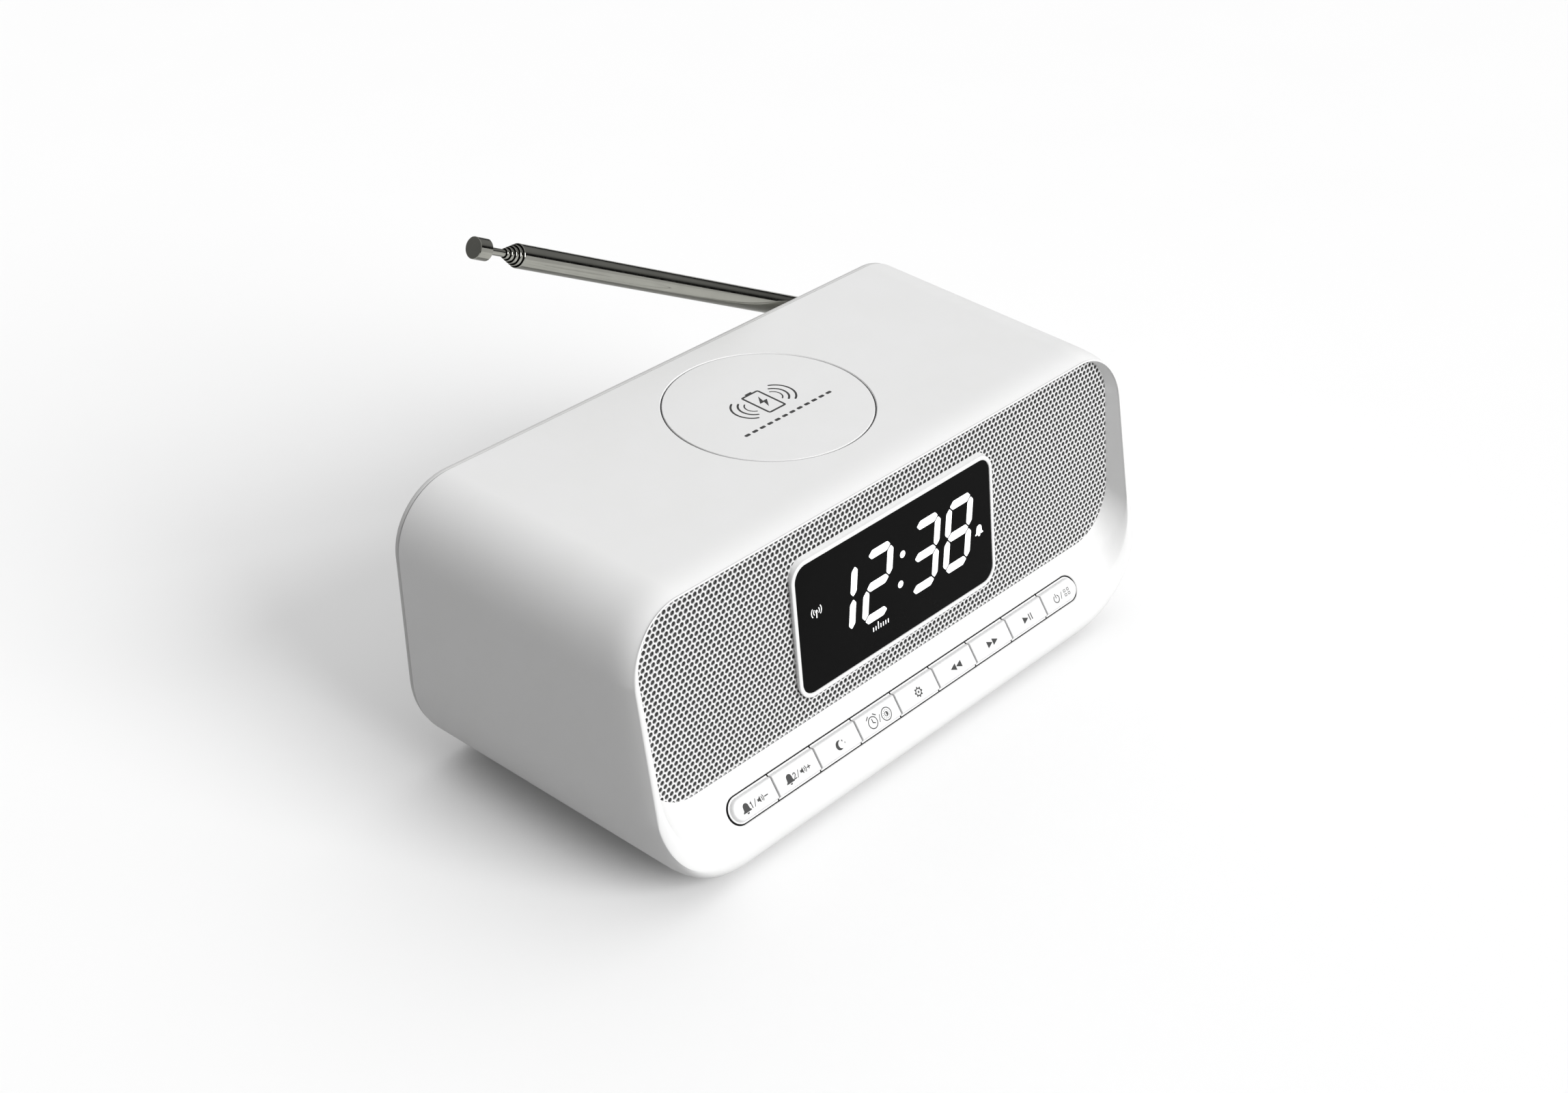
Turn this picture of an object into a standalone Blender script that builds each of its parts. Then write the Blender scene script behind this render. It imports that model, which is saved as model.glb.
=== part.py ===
"""Clock radio with a charging pad, a row of nine keys and a telescopic antenna.

Frame: origin at the centre of the housing's underside, X to the right and Y to the back as seen from the front,
Z up. Lengths are in metres, written in millimetres times MM.
"""

import math

import bmesh
import bpy
from mathutils import Matrix, Vector

MM = 0.001
GAP = 0.3 * MM

# Housing: a rounded tube along Y, slightly wider and taller at the back.
HALF_WIDTH = 99.34 * MM
SIDE_DRAFT = 0.018
TOP_HEIGHT = 85.51 * MM
TOP_DRAFT = 0.0265
DRAFT_Y = 11 * MM
TOP_RADIUS = 18.9 * MM
BASE_RADIUS = 28.9 * MM
WALL = 2.3 * MM
SHELL_BACK = 47.4 * MM
COVER_BACK = 49.2 * MM
CORNER_STEPS = 8

# Front rim: a line in side view, leaning back from the foot of the chin.
RIM_FOOT_Y = -48.2 * MM
RIM_FOOT_Z = 5.6 * MM
RIM_LEAN = 0.178

# Front plane, which carries the window, the grille and everything behind them.
FRONT_Y = -36.1 * MM
FRONT_Z = 51.83 * MM
FRONT_LEAN = math.radians(5.66)
GRILLE_DEPTH = 1.4 * MM
GRILLE_THICKNESS = 0.8 * MM
GRILLE_HALF_WIDTH = 94.6 * MM
GRILLE_LOW = -27.25 * MM
GRILLE_HIGH = 30.2 * MM
GRILLE_LOW_RADIUS = 15.2 * MM
GRILLE_HIGH_RADIUS = 14.2 * MM
LEDGE_DEPTH = GRILLE_DEPTH + GRILLE_THICKNESS + GAP
LEDGE_THICKNESS = 1.5 * MM
LEDGE_WIDTH = 2.5 * MM
BAFFLE_DEPTH = LEDGE_DEPTH + LEDGE_THICKNESS + GAP
BAFFLE_THICKNESS = 1.5 * MM

# Display.
WINDOW_HALF_WIDTH = 39.14 * MM
WINDOW_HALF_HEIGHT = 18.93 * MM
WINDOW_RADIUS = 4.2 * MM
WINDOW_THICKNESS = 1.5 * MM
BEZEL_WIDTH = 1.3 * MM
BEZEL_SKIRT = 0.65 * MM
BEZEL_PROUD = 0.2 * MM
BEZEL_LIP = 1.2 * MM

# Key row, on the slanted part of the chin.
KEY_COUNT = 9
KEY_PITCH = 16.13 * MM
KEY_ROW_Y = -42.81 * MM
KEY_ROW_Z = 16.44 * MM
KEY_ROW_LEAN = math.radians(35.4)
KEY_HEIGHT = 7.5 * MM
KEY_PROUD = 1.2 * MM
KEY_SUNK = 4.2 * MM
KEY_TRAVEL = 0.6 * MM
KEY_BEVEL = 0.6 * MM
SWITCH_HEIGHT = 3.5 * MM
KEY_NAMES = ("alarm_1", "alarm_2", "sleep", "snooze", "set", "back", "forward", "play", "power")

# Charging pad.
PAD_RADIUS = 28.84 * MM
PAD_THICKNESS = 1.0 * MM
PAD_GROOVE = 0.4 * MM

# Loudspeakers.
SPEAKER_X = 68.5 * MM
SPEAKER_V = 1.0 * MM
SPEAKER_RADIUS = 25 * MM

# Antenna: it swivels on the rear cover and tilts on a hinge pin.
PIVOT = Vector((82 * MM, 54 * MM, 66.8 * MM))
ANTENNA_RISE = math.radians(26.9)
SECTION_COUNT = 6
SECTION_STEP = 0.9 * MM
SECTION_WALL = 0.2 * MM
SECTION_RADIUS = 3.25 * MM
SECTION_FOOT = 9 * MM
SECTION_TOP = 146 * MM
SECTION_REVEAL = 1.1 * MM
ROD_REVEAL = 6.5 * MM
TIP_RADIUS = 3.0 * MM
TIP_LENGTH = 4.6 * MM
TUBE_SIDES = 16

# Main board, rear sockets and screws.
SCREW_LOW = (86.7 * MM, 13.1 * MM)
SCREW_HIGH = (89.6 * MM, 76.0 * MM)
BOSS_RADIUS = 4.6 * MM
BOARD_TOP = 9.8 * MM
BOARD_THICKNESS = 1.6 * MM
BOARD_X = -6 * MM
BOARD_Y = 10 * MM
BOARD_HALF_X = 59 * MM
BOARD_HALF_Y = 33 * MM
# Each socket is (name, x, body size).
SOCKETS = (
    ("dc_jack", -34 * MM, (9 * MM, 13 * MM, 10 * MM)),
    ("usb_port", -10 * MM, (14 * MM, 14 * MM, 7.2 * MM)),
    ("aux_jack", 14 * MM, (8 * MM, 12 * MM, 8 * MM)),
)

WHITE = (0.83, 0.83, 0.83, 1)
BLACK = (0.012, 0.012, 0.012, 1)
DARK = (0.04, 0.04, 0.045, 1)
GREEN = (0.02, 0.12, 0.05, 1)
STEEL = (0.45, 0.45, 0.44, 1)
COPPER = (0.7, 0.3, 0.12, 1)


# Scene, materials and objects.

def clear_scene():
    for thing in list(bpy.data.objects):
        bpy.data.objects.remove(thing, do_unlink=True)


def new_collection(name):
    collection = bpy.data.collections.new(name)
    bpy.context.scene.collection.children.link(collection)
    return collection


def new_material(name, colour, roughness, metallic=0.0):
    material = bpy.data.materials.new(name)
    material.use_nodes = True
    shader = material.node_tree.nodes["Principled BSDF"]
    shader.inputs["Base Color"].default_value = colour
    shader.inputs["Roughness"].default_value = roughness
    shader.inputs["Metallic"].default_value = metallic
    return material


def new_frame(name, location, rotation, parent=None):
    """An empty that places the pieces parented to it."""
    frame = bpy.data.objects.new(name, None)
    frame.location = location
    frame.rotation_euler = rotation
    frame.parent = parent
    radio.objects.link(frame)
    return frame


def place(mesh_object, parent, location, rotation):
    mesh_object.parent = parent
    mesh_object.location = location
    mesh_object.rotation_euler = rotation
    return mesh_object


def add_object(name, bm, material, parent=None, location=(0, 0, 0), rotation=(0, 0, 0)):
    """Turns a bmesh into a named object of the radio; a piece with no material is a cutter."""
    bmesh.ops.recalc_face_normals(bm, faces=bm.faces)
    mesh = bpy.data.meshes.new(name)
    bm.to_mesh(mesh)
    bm.free()
    thing = bpy.data.objects.new(name, mesh)
    if material is None:
        cutters.objects.link(thing)
        thing.hide_render = True
        thing.display_type = "WIRE"
    else:
        radio.objects.link(thing)
        mesh.materials.append(material)
        mesh.shade_smooth()
        mesh.set_sharp_from_angle(angle=math.radians(35))
    return place(thing, parent, location, rotation)


def boolean(target, tool, operation="DIFFERENCE"):
    modifier = target.modifiers.new(tool.name, "BOOLEAN")
    modifier.operation = operation
    modifier.solver = "EXACT"
    modifier.object = tool


def bevel(target, width, segments=2):
    modifier = target.modifiers.new("edges", "BEVEL")
    modifier.width = width
    modifier.segments = segments
    modifier.limit_method = "ANGLE"
    modifier.angle_limit = math.radians(40)


def box(name, size, material, parent=None, location=(0, 0, 0), rotation=(0, 0, 0)):
    bm = bmesh.new()
    bmesh.ops.create_cube(bm, size=1, matrix=Matrix.Diagonal((*size, 1)))
    return add_object(name, bm, material, parent, location, rotation)


def cylinder(name, radius, length, material, parent=None, location=(0, 0, 0), rotation=(0, 0, 0), sides=24):
    bm = bmesh.new()
    bmesh.ops.create_cone(bm, cap_ends=True, segments=sides, radius1=radius, radius2=radius, depth=length)
    return add_object(name, bm, material, parent, location, rotation)


def turned(name, profile, sides, material, parent=None, location=(0, 0, 0), rotation=(0, 0, 0), ring=False):
    """A shape turned about its Z axis from (radius, height) points; a ring's profile closes on itself."""
    mesh = bpy.data.meshes.new(name)
    edges = [(i, i + 1) for i in range(len(profile) - 1)]
    if ring:
        edges.append((len(profile) - 1, 0))
    mesh.from_pydata([(radius, 0, height) for radius, height in profile], edges, [])
    mesh.materials.append(material)
    thing = bpy.data.objects.new(name, mesh)
    radio.objects.link(thing)
    screw = thing.modifiers.new("turn", "SCREW")
    screw.steps = sides
    screw.render_steps = sides
    screw.use_merge_vertices = True
    screw.merge_threshold = 0.000001
    return place(thing, parent, location, rotation)


# Outlines and lofts.

def corner_places(steps=CORNER_STEPS):
    """(side, is upper, angle) for each point around an outline, from the lower right corner, anticlockwise."""
    places = []
    for side, upper, start in ((1, False, -90), (1, True, 0), (-1, True, 90), (-1, False, 180)):
        places += [(side, upper, math.radians(start + 90 * i / steps)) for i in range(steps + 1)]
    return places


def outline_point(corner, half_width, low, high, low_radius, high_radius):
    side, upper, angle = corner
    radius = high_radius if upper else low_radius
    centre_z = high - radius if upper else low + radius
    return Vector((side * (half_width - radius) + radius * math.cos(angle), centre_z + radius * math.sin(angle)))


def rounded_outline(half_width, low, high, low_radius, high_radius, steps=CORNER_STEPS):
    return [outline_point(c, half_width, low, high, low_radius, high_radius) for c in corner_places(steps)]


def housing_point(corner, y, inset):
    """A point of the housing's cross section at depth y, moved inwards by inset."""
    half_width = HALF_WIDTH + SIDE_DRAFT * (y - DRAFT_Y)
    height = TOP_HEIGHT + TOP_DRAFT * (y - DRAFT_Y)
    return outline_point(corner, half_width - inset, inset, height - inset, BASE_RADIUS - inset, TOP_RADIUS - inset)


def grille_point(corner, depth, inset):
    """A point of the grille's outline in the front plane's frame, as a point in space."""
    p = outline_point(corner, GRILLE_HALF_WIDTH - inset, GRILLE_LOW + inset, GRILLE_HIGH - inset,
                      GRILLE_LOW_RADIUS - inset, GRILLE_HIGH_RADIUS - inset)
    return FRONT_MATRIX @ Vector((p.x, depth, p.y))


def rim_y(z):
    return RIM_FOOT_Y + RIM_LEAN * (z - RIM_FOOT_Z)


def chin_share(corner):
    """0 beside and above the grille, 1 along the chin, and in between round the lower corners."""
    side, upper, angle = corner
    if upper:
        return 0
    turn = abs(math.sin(angle))
    return turn * turn * (3 - 2 * turn)


def loft(name, rings, material, closed, parent=None):
    """Joins rings of points into one solid: a closed tube wall, or a solid capped at both ends."""
    bm = bmesh.new()
    loops = [[bm.verts.new(point) for point in ring] for ring in rings]
    pairs = list(zip(loops, loops[1:]))
    if closed:
        pairs.append((loops[-1], loops[0]))
    for first, second in pairs:
        for i in range(len(first)):
            j = (i + 1) % len(first)
            bm.faces.new((first[i], first[j], second[j], second[i]))
    if not closed:
        bm.faces.new(loops[0])
        bm.faces.new(loops[-1])
    return add_object(name, bm, material, parent)


def plate(name, outline, thickness, material, parent, depth):
    """A flat plate parallel to the front plane, from its outline there, with its front face at the given depth."""
    bm = bmesh.new()
    face = bm.faces.new([bm.verts.new((x, depth, v)) for x, v in outline])
    back = bmesh.ops.extrude_face_region(bm, geom=[face])
    moved = [part for part in back["geom"] if isinstance(part, bmesh.types.BMVert)]
    bmesh.ops.translate(bm, verts=moved, vec=(0, thickness, 0))
    return add_object(name, bm, material, parent)


# Housing.

# Each pair is (share of the way out from the grille's outline to the housing's, depth in Y). Beside the grille
# the depth counts back from the rim, and the share is an inset from the housing's surface where it is negative.
SIDE_PROFILE = (
    (0.34, 0.5 * MM), (0.38, 0.0), (0.58, 0.0), (-1.0 * MM, 0.5 * MM), (-0.6 * MM, 3.5 * MM),
    (-0.25 * MM, 7.5 * MM), (-0.05 * MM, 11 * MM),
)
CHIN_PROFILE = (
    (19.41 * MM, -40.7 * MM), (13.27 * MM, -45.06 * MM), (8.6 * MM, -47.4 * MM), (5.6 * MM, -48.2 * MM),
    (2.7 * MM, -47.2 * MM), (0.8 * MM, -44.8 * MM), (0.0, -41.5 * MM),
)
INNER_SIDE = (21 * MM, 18 * MM, 15 * MM, 12.5 * MM, 11.2 * MM)
INNER_CHIN = (
    (2.3 * MM, -41.5 * MM), (4.0 * MM, -45.0 * MM), (11.6 * MM, -43.2 * MM), (17.0 * MM, -39.0 * MM),
    (21.4 * MM, -34.8 * MM),
)


def front_ring(side_share, side_back, chin_z, chin_y):
    """One ring of the shell's front surface, blended round the lower corners from side wall to chin."""
    ring = []
    for corner in corner_places():
        share_of_chin = chin_share(corner)
        inner = grille_point(corner, GRILLE_DEPTH, 0)
        chin_low = FRONT_MATRIX @ Vector((0, GRILLE_DEPTH, GRILLE_LOW))
        chin_out = 1 - chin_z / chin_low.z
        y = chin_y
        for _ in range(3):
            outer = housing_point(corner, y, 0)
            reach = (outer - Vector((inner.x, inner.z))).length
            side_out = side_share if side_share >= 0 else 1 + side_share / max(reach, 2.2 * MM)
            out = side_out + (chin_out - side_out) * share_of_chin
            x = inner.x + (outer.x - inner.x) * out
            z = inner.z + (outer.y - inner.z) * out
            side_y = rim_y(z) + side_back
            y = side_y + (chin_y - side_y) * share_of_chin
        ring.append(Vector((x, y, z)))
    return ring


def housing_ring(y, inset):
    points = [housing_point(corner, y, inset) for corner in corner_places()]
    return [Vector((p.x, y, p.y)) for p in points]


def ledge_ring(depth, inset):
    return [grille_point(corner, depth, inset) for corner in corner_places()]


def front_shell():
    rings = [ledge_ring(GRILLE_DEPTH, 0)]
    for (side_share, side_back), (chin_z, chin_y) in zip(SIDE_PROFILE, CHIN_PROFILE):
        rings.append(front_ring(side_share, side_back, chin_z, chin_y))
    rings.append(housing_ring(SHELL_BACK - 0.4 * MM, 0))
    rings.append(housing_ring(SHELL_BACK, 0.4 * MM))
    rings.append(housing_ring(SHELL_BACK, WALL))
    for side_back, (chin_z, chin_y) in zip(INNER_SIDE, INNER_CHIN):
        rings.append(front_ring(-WALL, side_back, chin_z, chin_y))
    rings.append(ledge_ring(LEDGE_DEPTH + LEDGE_THICKNESS, 0))
    rings.append(ledge_ring(LEDGE_DEPTH + LEDGE_THICKNESS, LEDGE_WIDTH))
    rings.append(ledge_ring(LEDGE_DEPTH, LEDGE_WIDTH))
    rings.append(ledge_ring(LEDGE_DEPTH, 0))
    shell = loft("front_shell", rings, white, closed=True)
    for x, z in screw_places():
        length = 27 * MM
        boss = cylinder("boss", BOSS_RADIUS, length, None, None, (x, 42.2 * MM - length / 2, z), FACE_BACK, 16)
        boolean(shell, boss, "UNION")
        bore = cylinder("boss_bore", 1.6 * MM, 16 * MM, None, None, (x, 36 * MM, z), FACE_BACK, 12)
        boolean(shell, bore)
    for x, y in post_places():
        top = BOARD_TOP - BOARD_THICKNESS - GAP
        height = top - 1.2 * MM
        post = cylinder("board_post", 3 * MM, height, None, None, (x, y, top - height / 2), sides=12)
        boolean(shell, post, "UNION")
    boolean(shell, key_slot())
    recess = cylinder("pad_recess", PAD_RADIUS + PAD_GROOVE, 4 * MM, None, pad_frame,
                      (0, 0, 2 * MM - PAD_THICKNESS - GAP), sides=64)
    boolean(shell, recess)
    for x, y in foot_places():
        pocket = cylinder("foot_pocket", 6.3 * MM, 1.6 * MM, None, None, (x, y, 0), sides=24)
        boolean(shell, pocket)
    return shell


def screw_places():
    return [(side * x, z) for side in (-1, 1) for x, z in (SCREW_LOW, SCREW_HIGH)]


def post_places():
    reach_x = BOARD_HALF_X - 5 * MM
    reach_y = BOARD_HALF_Y - 5 * MM
    return [(BOARD_X + side * reach_x, BOARD_Y + end * reach_y) for side in (-1, 1) for end in (-1, 1)]


def foot_places():
    return [(side * 58 * MM, y) for side in (-1, 1) for y in (-29 * MM, 35 * MM)]


def rear_cover():
    """A shallow pan: an outer flange that meets the shell's edge, and a lip inside the shell."""
    lip_front = 43 * MM
    inner_face = 47.2 * MM
    flange_front = SHELL_BACK + GAP
    lip = WALL + 0.4 * MM
    rings = [
        housing_ring(inner_face, lip + 1.7 * MM), housing_ring(lip_front, lip + 1.7 * MM),
        housing_ring(lip_front, lip), housing_ring(flange_front, lip), housing_ring(flange_front, 0.5 * MM),
        housing_ring(COVER_BACK - 0.5 * MM, 0.5 * MM), housing_ring(COVER_BACK, 1.0 * MM),
    ]
    cover = loft("rear_cover", rings, grey, closed=False)
    for x, z in screw_places():
        sink = cylinder("screw_sink", 3.2 * MM, 1.0 * MM, None, None, (x, COVER_BACK, z), FACE_BACK)
        hole = cylinder("screw_hole", 1.7 * MM, 8 * MM, None, None, (x, COVER_BACK, z), FACE_BACK, 12)
        boolean(cover, sink)
        boolean(cover, hole)
    swivel_hole = cylinder("swivel_hole", 3.4 * MM, 8 * MM, None, None, (PIVOT.x, COVER_BACK, PIVOT.z), FACE_BACK)
    boolean(cover, swivel_hole)
    for name, x, size in SOCKETS:
        window = box(name + "_window", (size[0] + 2 * GAP, 8 * MM, size[2] + 2 * GAP), None, None,
                     (x, COVER_BACK, socket_z(size)))
        boolean(cover, window)


# Front plane: grille, baffle and display.

def front_pieces():
    grille = plate("speaker_grille", rounded_outline(
        GRILLE_HALF_WIDTH - GAP, GRILLE_LOW + GAP, GRILLE_HIGH - GAP,
        GRILLE_LOW_RADIUS - GAP, GRILLE_HIGH_RADIUS - GAP), GRILLE_THICKNESS, white, front_frame, GRILLE_DEPTH)
    inset = 1.2 * MM
    baffle = plate("front_baffle", rounded_outline(
        GRILLE_HALF_WIDTH - inset, GRILLE_LOW + inset, GRILLE_HIGH - inset,
        GRILLE_LOW_RADIUS - inset, GRILLE_HIGH_RADIUS - inset), BAFFLE_THICKNESS, dark, front_frame, BAFFLE_DEPTH)
    outer = bezel_outline(BEZEL_WIDTH + GAP, BEZEL_SKIRT)
    opening = plate("bezel_opening", outer, 12 * MM, None, front_frame, 0)
    boolean(grille, opening)
    boolean(baffle, opening)
    for side in (-1, 1):
        hole = cylinder("speaker_hole", 21 * MM, 6 * MM, None, front_frame,
                        (side * SPEAKER_X, BAFFLE_DEPTH, SPEAKER_V), FACE_BACK, 32)
        boolean(baffle, hole)

    sections = ((-BEZEL_PROUD, 0), (GRILLE_DEPTH, BEZEL_SKIRT), (BAFFLE_DEPTH + BAFFLE_THICKNESS, BEZEL_SKIRT))
    rings = [[(x, depth, v) for x, v in bezel_outline(BEZEL_WIDTH, skirt)] for depth, skirt in sections]
    bezel = loft("display_bezel", rings, white, closed=False, parent=front_frame)
    seat = plate("window_seat", bezel_outline(GAP), BEZEL_PROUD + WINDOW_THICKNESS + GAP + 1 * MM, None,
                 front_frame, -BEZEL_PROUD - 1 * MM)
    through = plate("bezel_bore", bezel_outline(-BEZEL_LIP), 20 * MM, None, front_frame, -5 * MM)
    boolean(bezel, seat)
    boolean(bezel, through)
    plate("display_window", bezel_outline(0), WINDOW_THICKNESS, black, front_frame, 0)
    module_front = WINDOW_THICKNESS + 2 * GAP
    box("display_module", (72 * MM, 9 * MM, 33 * MM), dark, front_frame, (0, module_front + 4.5 * MM, 0))


def bezel_outline(grow, skirt=0):
    """The display window's outline, grown outwards all round, and further at the top by the skirt."""
    return rounded_outline(WINDOW_HALF_WIDTH + grow, -WINDOW_HALF_HEIGHT - grow, WINDOW_HALF_HEIGHT + grow + skirt,
                           WINDOW_RADIUS + grow, WINDOW_RADIUS + grow, 6)


def speaker(name, side):
    """Frame, cone and magnet, turned about the speaker's axis; height counts forwards from the flange's front."""
    frame = new_frame(name + "_axis", (side * SPEAKER_X, BAFFLE_DEPTH + BAFFLE_THICKNESS + GAP, SPEAKER_V),
                      FACE_FRONT, front_frame)
    basket = ((SPEAKER_RADIUS, 0), (SPEAKER_RADIUS, -1.2 * MM), (20.4 * MM, -1.4 * MM), (13 * MM, -12 * MM),
              (13 * MM, -14 * MM), (6 * MM, -14 * MM), (6 * MM, -12.8 * MM), (12 * MM, -12.8 * MM),
              (12 * MM, -11.6 * MM), (20 * MM, 0))
    turned(name + "_frame", basket, 24, steel, frame, ring=True)
    cone = ((0, -5.2 * MM), (3 * MM, -5.6 * MM), (5.2 * MM, -7 * MM), (14.8 * MM, -1.6 * MM), (16.4 * MM, -0.7 * MM),
            (18.2 * MM, -1.3 * MM), (18.2 * MM, -1.8 * MM), (16.4 * MM, -1.4 * MM), (14.8 * MM, -2.4 * MM),
            (5.2 * MM, -8 * MM), (3 * MM, -6.8 * MM), (0, -6.4 * MM))
    turned(name + "_cone", cone, 24, dark, frame)
    magnet = ((0, -14.3 * MM), (14 * MM, -14.3 * MM), (14 * MM, -22 * MM), (0, -22 * MM))
    turned(name + "_magnet", magnet, 24, dark, frame)


# Key row.

def key_outline(left, right, half_height, left_radius, right_radius):
    """A key's face outline, with its own radius at each end."""
    points = []
    for end, radius, start in ((right, right_radius, -90), (left, left_radius, 90)):
        steps = 8 if radius > 1 * MM else 2
        for upper in (0, 1):
            rise = 1 if (start + 90 * upper) in (0, 90) else -1
            centre_x = end - radius if end == right else end + radius
            for i in range(steps + 1):
                angle = math.radians(start + 90 * upper + 90 * i / steps)
                centre_v = rise * (half_height - radius)
                points.append((centre_x + radius * math.cos(angle), centre_v + radius * math.sin(angle)))
    return points


def key_slot():
    half_length = KEY_PITCH * KEY_COUNT / 2 + GAP
    half_height = KEY_HEIGHT / 2 + GAP
    points = []
    for side, start in ((1, -90), (-1, 90)):
        for i in range(17):
            angle = math.radians(start + 180 * i / 16)
            points.append((side * (half_length - half_height) + half_height * math.cos(angle),
                           half_height * math.sin(angle)))
    return plate("key_slot", points, 12 * MM, None, key_frame, -4 * MM)


def key_cap(index):
    """A cap in its own frame, centred on its joint's axis."""
    last = KEY_COUNT - 1
    centre = (index - last / 2) * KEY_PITCH
    half_width = KEY_PITCH / 2 - GAP / 2
    half_height = KEY_HEIGHT / 2
    round_end = half_height - 0.01 * MM
    small = 0.6 * MM
    left_radius = round_end if index == 0 else small
    right_radius = round_end if index == last else small
    outline = key_outline(-half_width, half_width, half_height, left_radius, right_radius)
    bm = bmesh.new()
    loops = []
    for depth, shrink in ((-KEY_PROUD, KEY_BEVEL), (-KEY_PROUD + 0.2 * MM, KEY_BEVEL / 2), (0, 0), (KEY_SUNK, 0)):
        scale_x = (half_width - shrink) / half_width
        scale_v = (half_height - shrink) / half_height
        loops.append([bm.verts.new((x * scale_x, depth, v * scale_v)) for x, v in outline])
    for first, second in zip(loops, loops[1:]):
        for i in range(len(first)):
            j = (i + 1) % len(first)
            bm.faces.new((first[i], first[j], second[j], second[i]))
    bm.faces.new(loops[0])
    bm.faces.new(loops[-1])
    cap = add_object("key_" + KEY_NAMES[index], bm, white, key_frame, (centre, 0, 0))
    switch = box("switch_" + KEY_NAMES[index], (6 * MM, SWITCH_HEIGHT, 6 * MM), dark, key_frame,
                 (centre, KEY_SUNK + KEY_TRAVEL + 1.1 * MM + SWITCH_HEIGHT / 2, 0))
    plunger = cylinder("plunger", 1.6 * MM, 2 * MM, None, key_frame,
                       (centre, KEY_SUNK + KEY_TRAVEL + 1.1 * MM, 0), FACE_BACK, 12)
    boolean(switch, plunger, "UNION")
    return cap


def key_row():
    for index in range(KEY_COUNT):
        key_cap(index)
    board_depth = KEY_SUNK + KEY_TRAVEL + 1.1 * MM + SWITCH_HEIGHT + GAP
    box("key_board", (KEY_PITCH * KEY_COUNT, BOARD_THICKNESS, 8 * MM), green, key_frame,
        (0, board_depth + BOARD_THICKNESS / 2, 0))


# Charging pad and what lies under it.

def charging_parts():
    pad = cylinder("charging_pad", PAD_RADIUS, PAD_THICKNESS, white, pad_frame, (0, 0, -PAD_THICKNESS / 2), sides=64)
    bevel(pad, 0.15 * MM, 1)
    top = -WALL - 2 * GAP
    coil = ((22 * MM, top), (22 * MM, top - 1.4 * MM), (10 * MM, top - 1.4 * MM), (10 * MM, top))
    turned("charging_coil", coil, 32, copper, pad_frame, ring=True)
    ferrite_top = top - 1.4 * MM - GAP
    ferrite = ((0, ferrite_top), (24 * MM, ferrite_top), (24 * MM, ferrite_top - 1 * MM), (0, ferrite_top - 1 * MM))
    turned("ferrite_plate", ferrite, 32, dark, pad_frame)


# Boards, sockets, feet and screws.

def socket_z(size):
    return BOARD_TOP + GAP + size[2] / 2


def sockets():
    face = COVER_BACK - 0.2 * MM
    bodies = {}
    centres = {}
    for name, x, size in SOCKETS:
        centres[name] = Vector((x, face, socket_z(size)))
        bodies[name] = box(name, size, dark, None, centres[name] - Vector((0, size[1] / 2, 0)))
    pin_back = Vector((0, -6.5 * MM, 0))
    barrel = cylinder("dc_barrel", 3.1 * MM, 20 * MM, None, None, centres["dc_jack"], FACE_BACK)
    pin = cylinder("dc_pin", 1.0 * MM, 10 * MM, None, None, centres["dc_jack"] + pin_back, FACE_BACK, 12)
    boolean(bodies["dc_jack"], barrel)
    boolean(bodies["dc_jack"], pin, "UNION")
    mouth = box("usb_mouth", (12.4 * MM, 20 * MM, 5 * MM), None, None, centres["usb_port"])
    tongue = box("usb_tongue", (11 * MM, 10 * MM, 1.8 * MM), None, None,
                 centres["usb_port"] + pin_back + Vector((0, 0, 1 * MM)))
    boolean(bodies["usb_port"], mouth)
    boolean(bodies["usb_port"], tongue, "UNION")
    bore = cylinder("aux_bore", 1.8 * MM, 18 * MM, None, None, centres["aux_jack"], FACE_BACK)
    boolean(bodies["aux_jack"], bore)


def main_board():
    box("main_board", (BOARD_HALF_X * 2, BOARD_HALF_Y * 2, BOARD_THICKNESS), green, None,
        (BOARD_X, BOARD_Y, BOARD_TOP - BOARD_THICKNESS / 2))


def feet():
    names = ("foot_front_left", "foot_rear_left", "foot_front_right", "foot_rear_right")
    profile = ((0, 0.5 * MM), (6 * MM, 0.5 * MM), (6 * MM, -1.1 * MM), (5.5 * MM, -1.5 * MM), (0, -1.5 * MM))
    for name, (x, y) in zip(names, foot_places()):
        turned(name, profile, 20, rubber, None, (x, y, 0))


def rear_screws():
    names = ("screw_low_left", "screw_high_left", "screw_low_right", "screw_high_right")
    profile = ((0, 0.7 * MM), (2.2 * MM, 0.7 * MM), (2.8 * MM, 0.4 * MM), (2.8 * MM, -0.1 * MM),
               (1.3 * MM, -0.1 * MM), (1.3 * MM, -13 * MM), (0, -14 * MM))
    for name, (x, z) in zip(names, screw_places()):
        turned(name, profile, 16, steel, None, (x, COVER_BACK - 0.1 * MM, z), FACE_BACK)


# Antenna, in a frame with Z along the rod and X along the hinge pin.

def antenna():
    fork()
    knuckle()
    for index in range(SECTION_COUNT):
        section(index)


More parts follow.
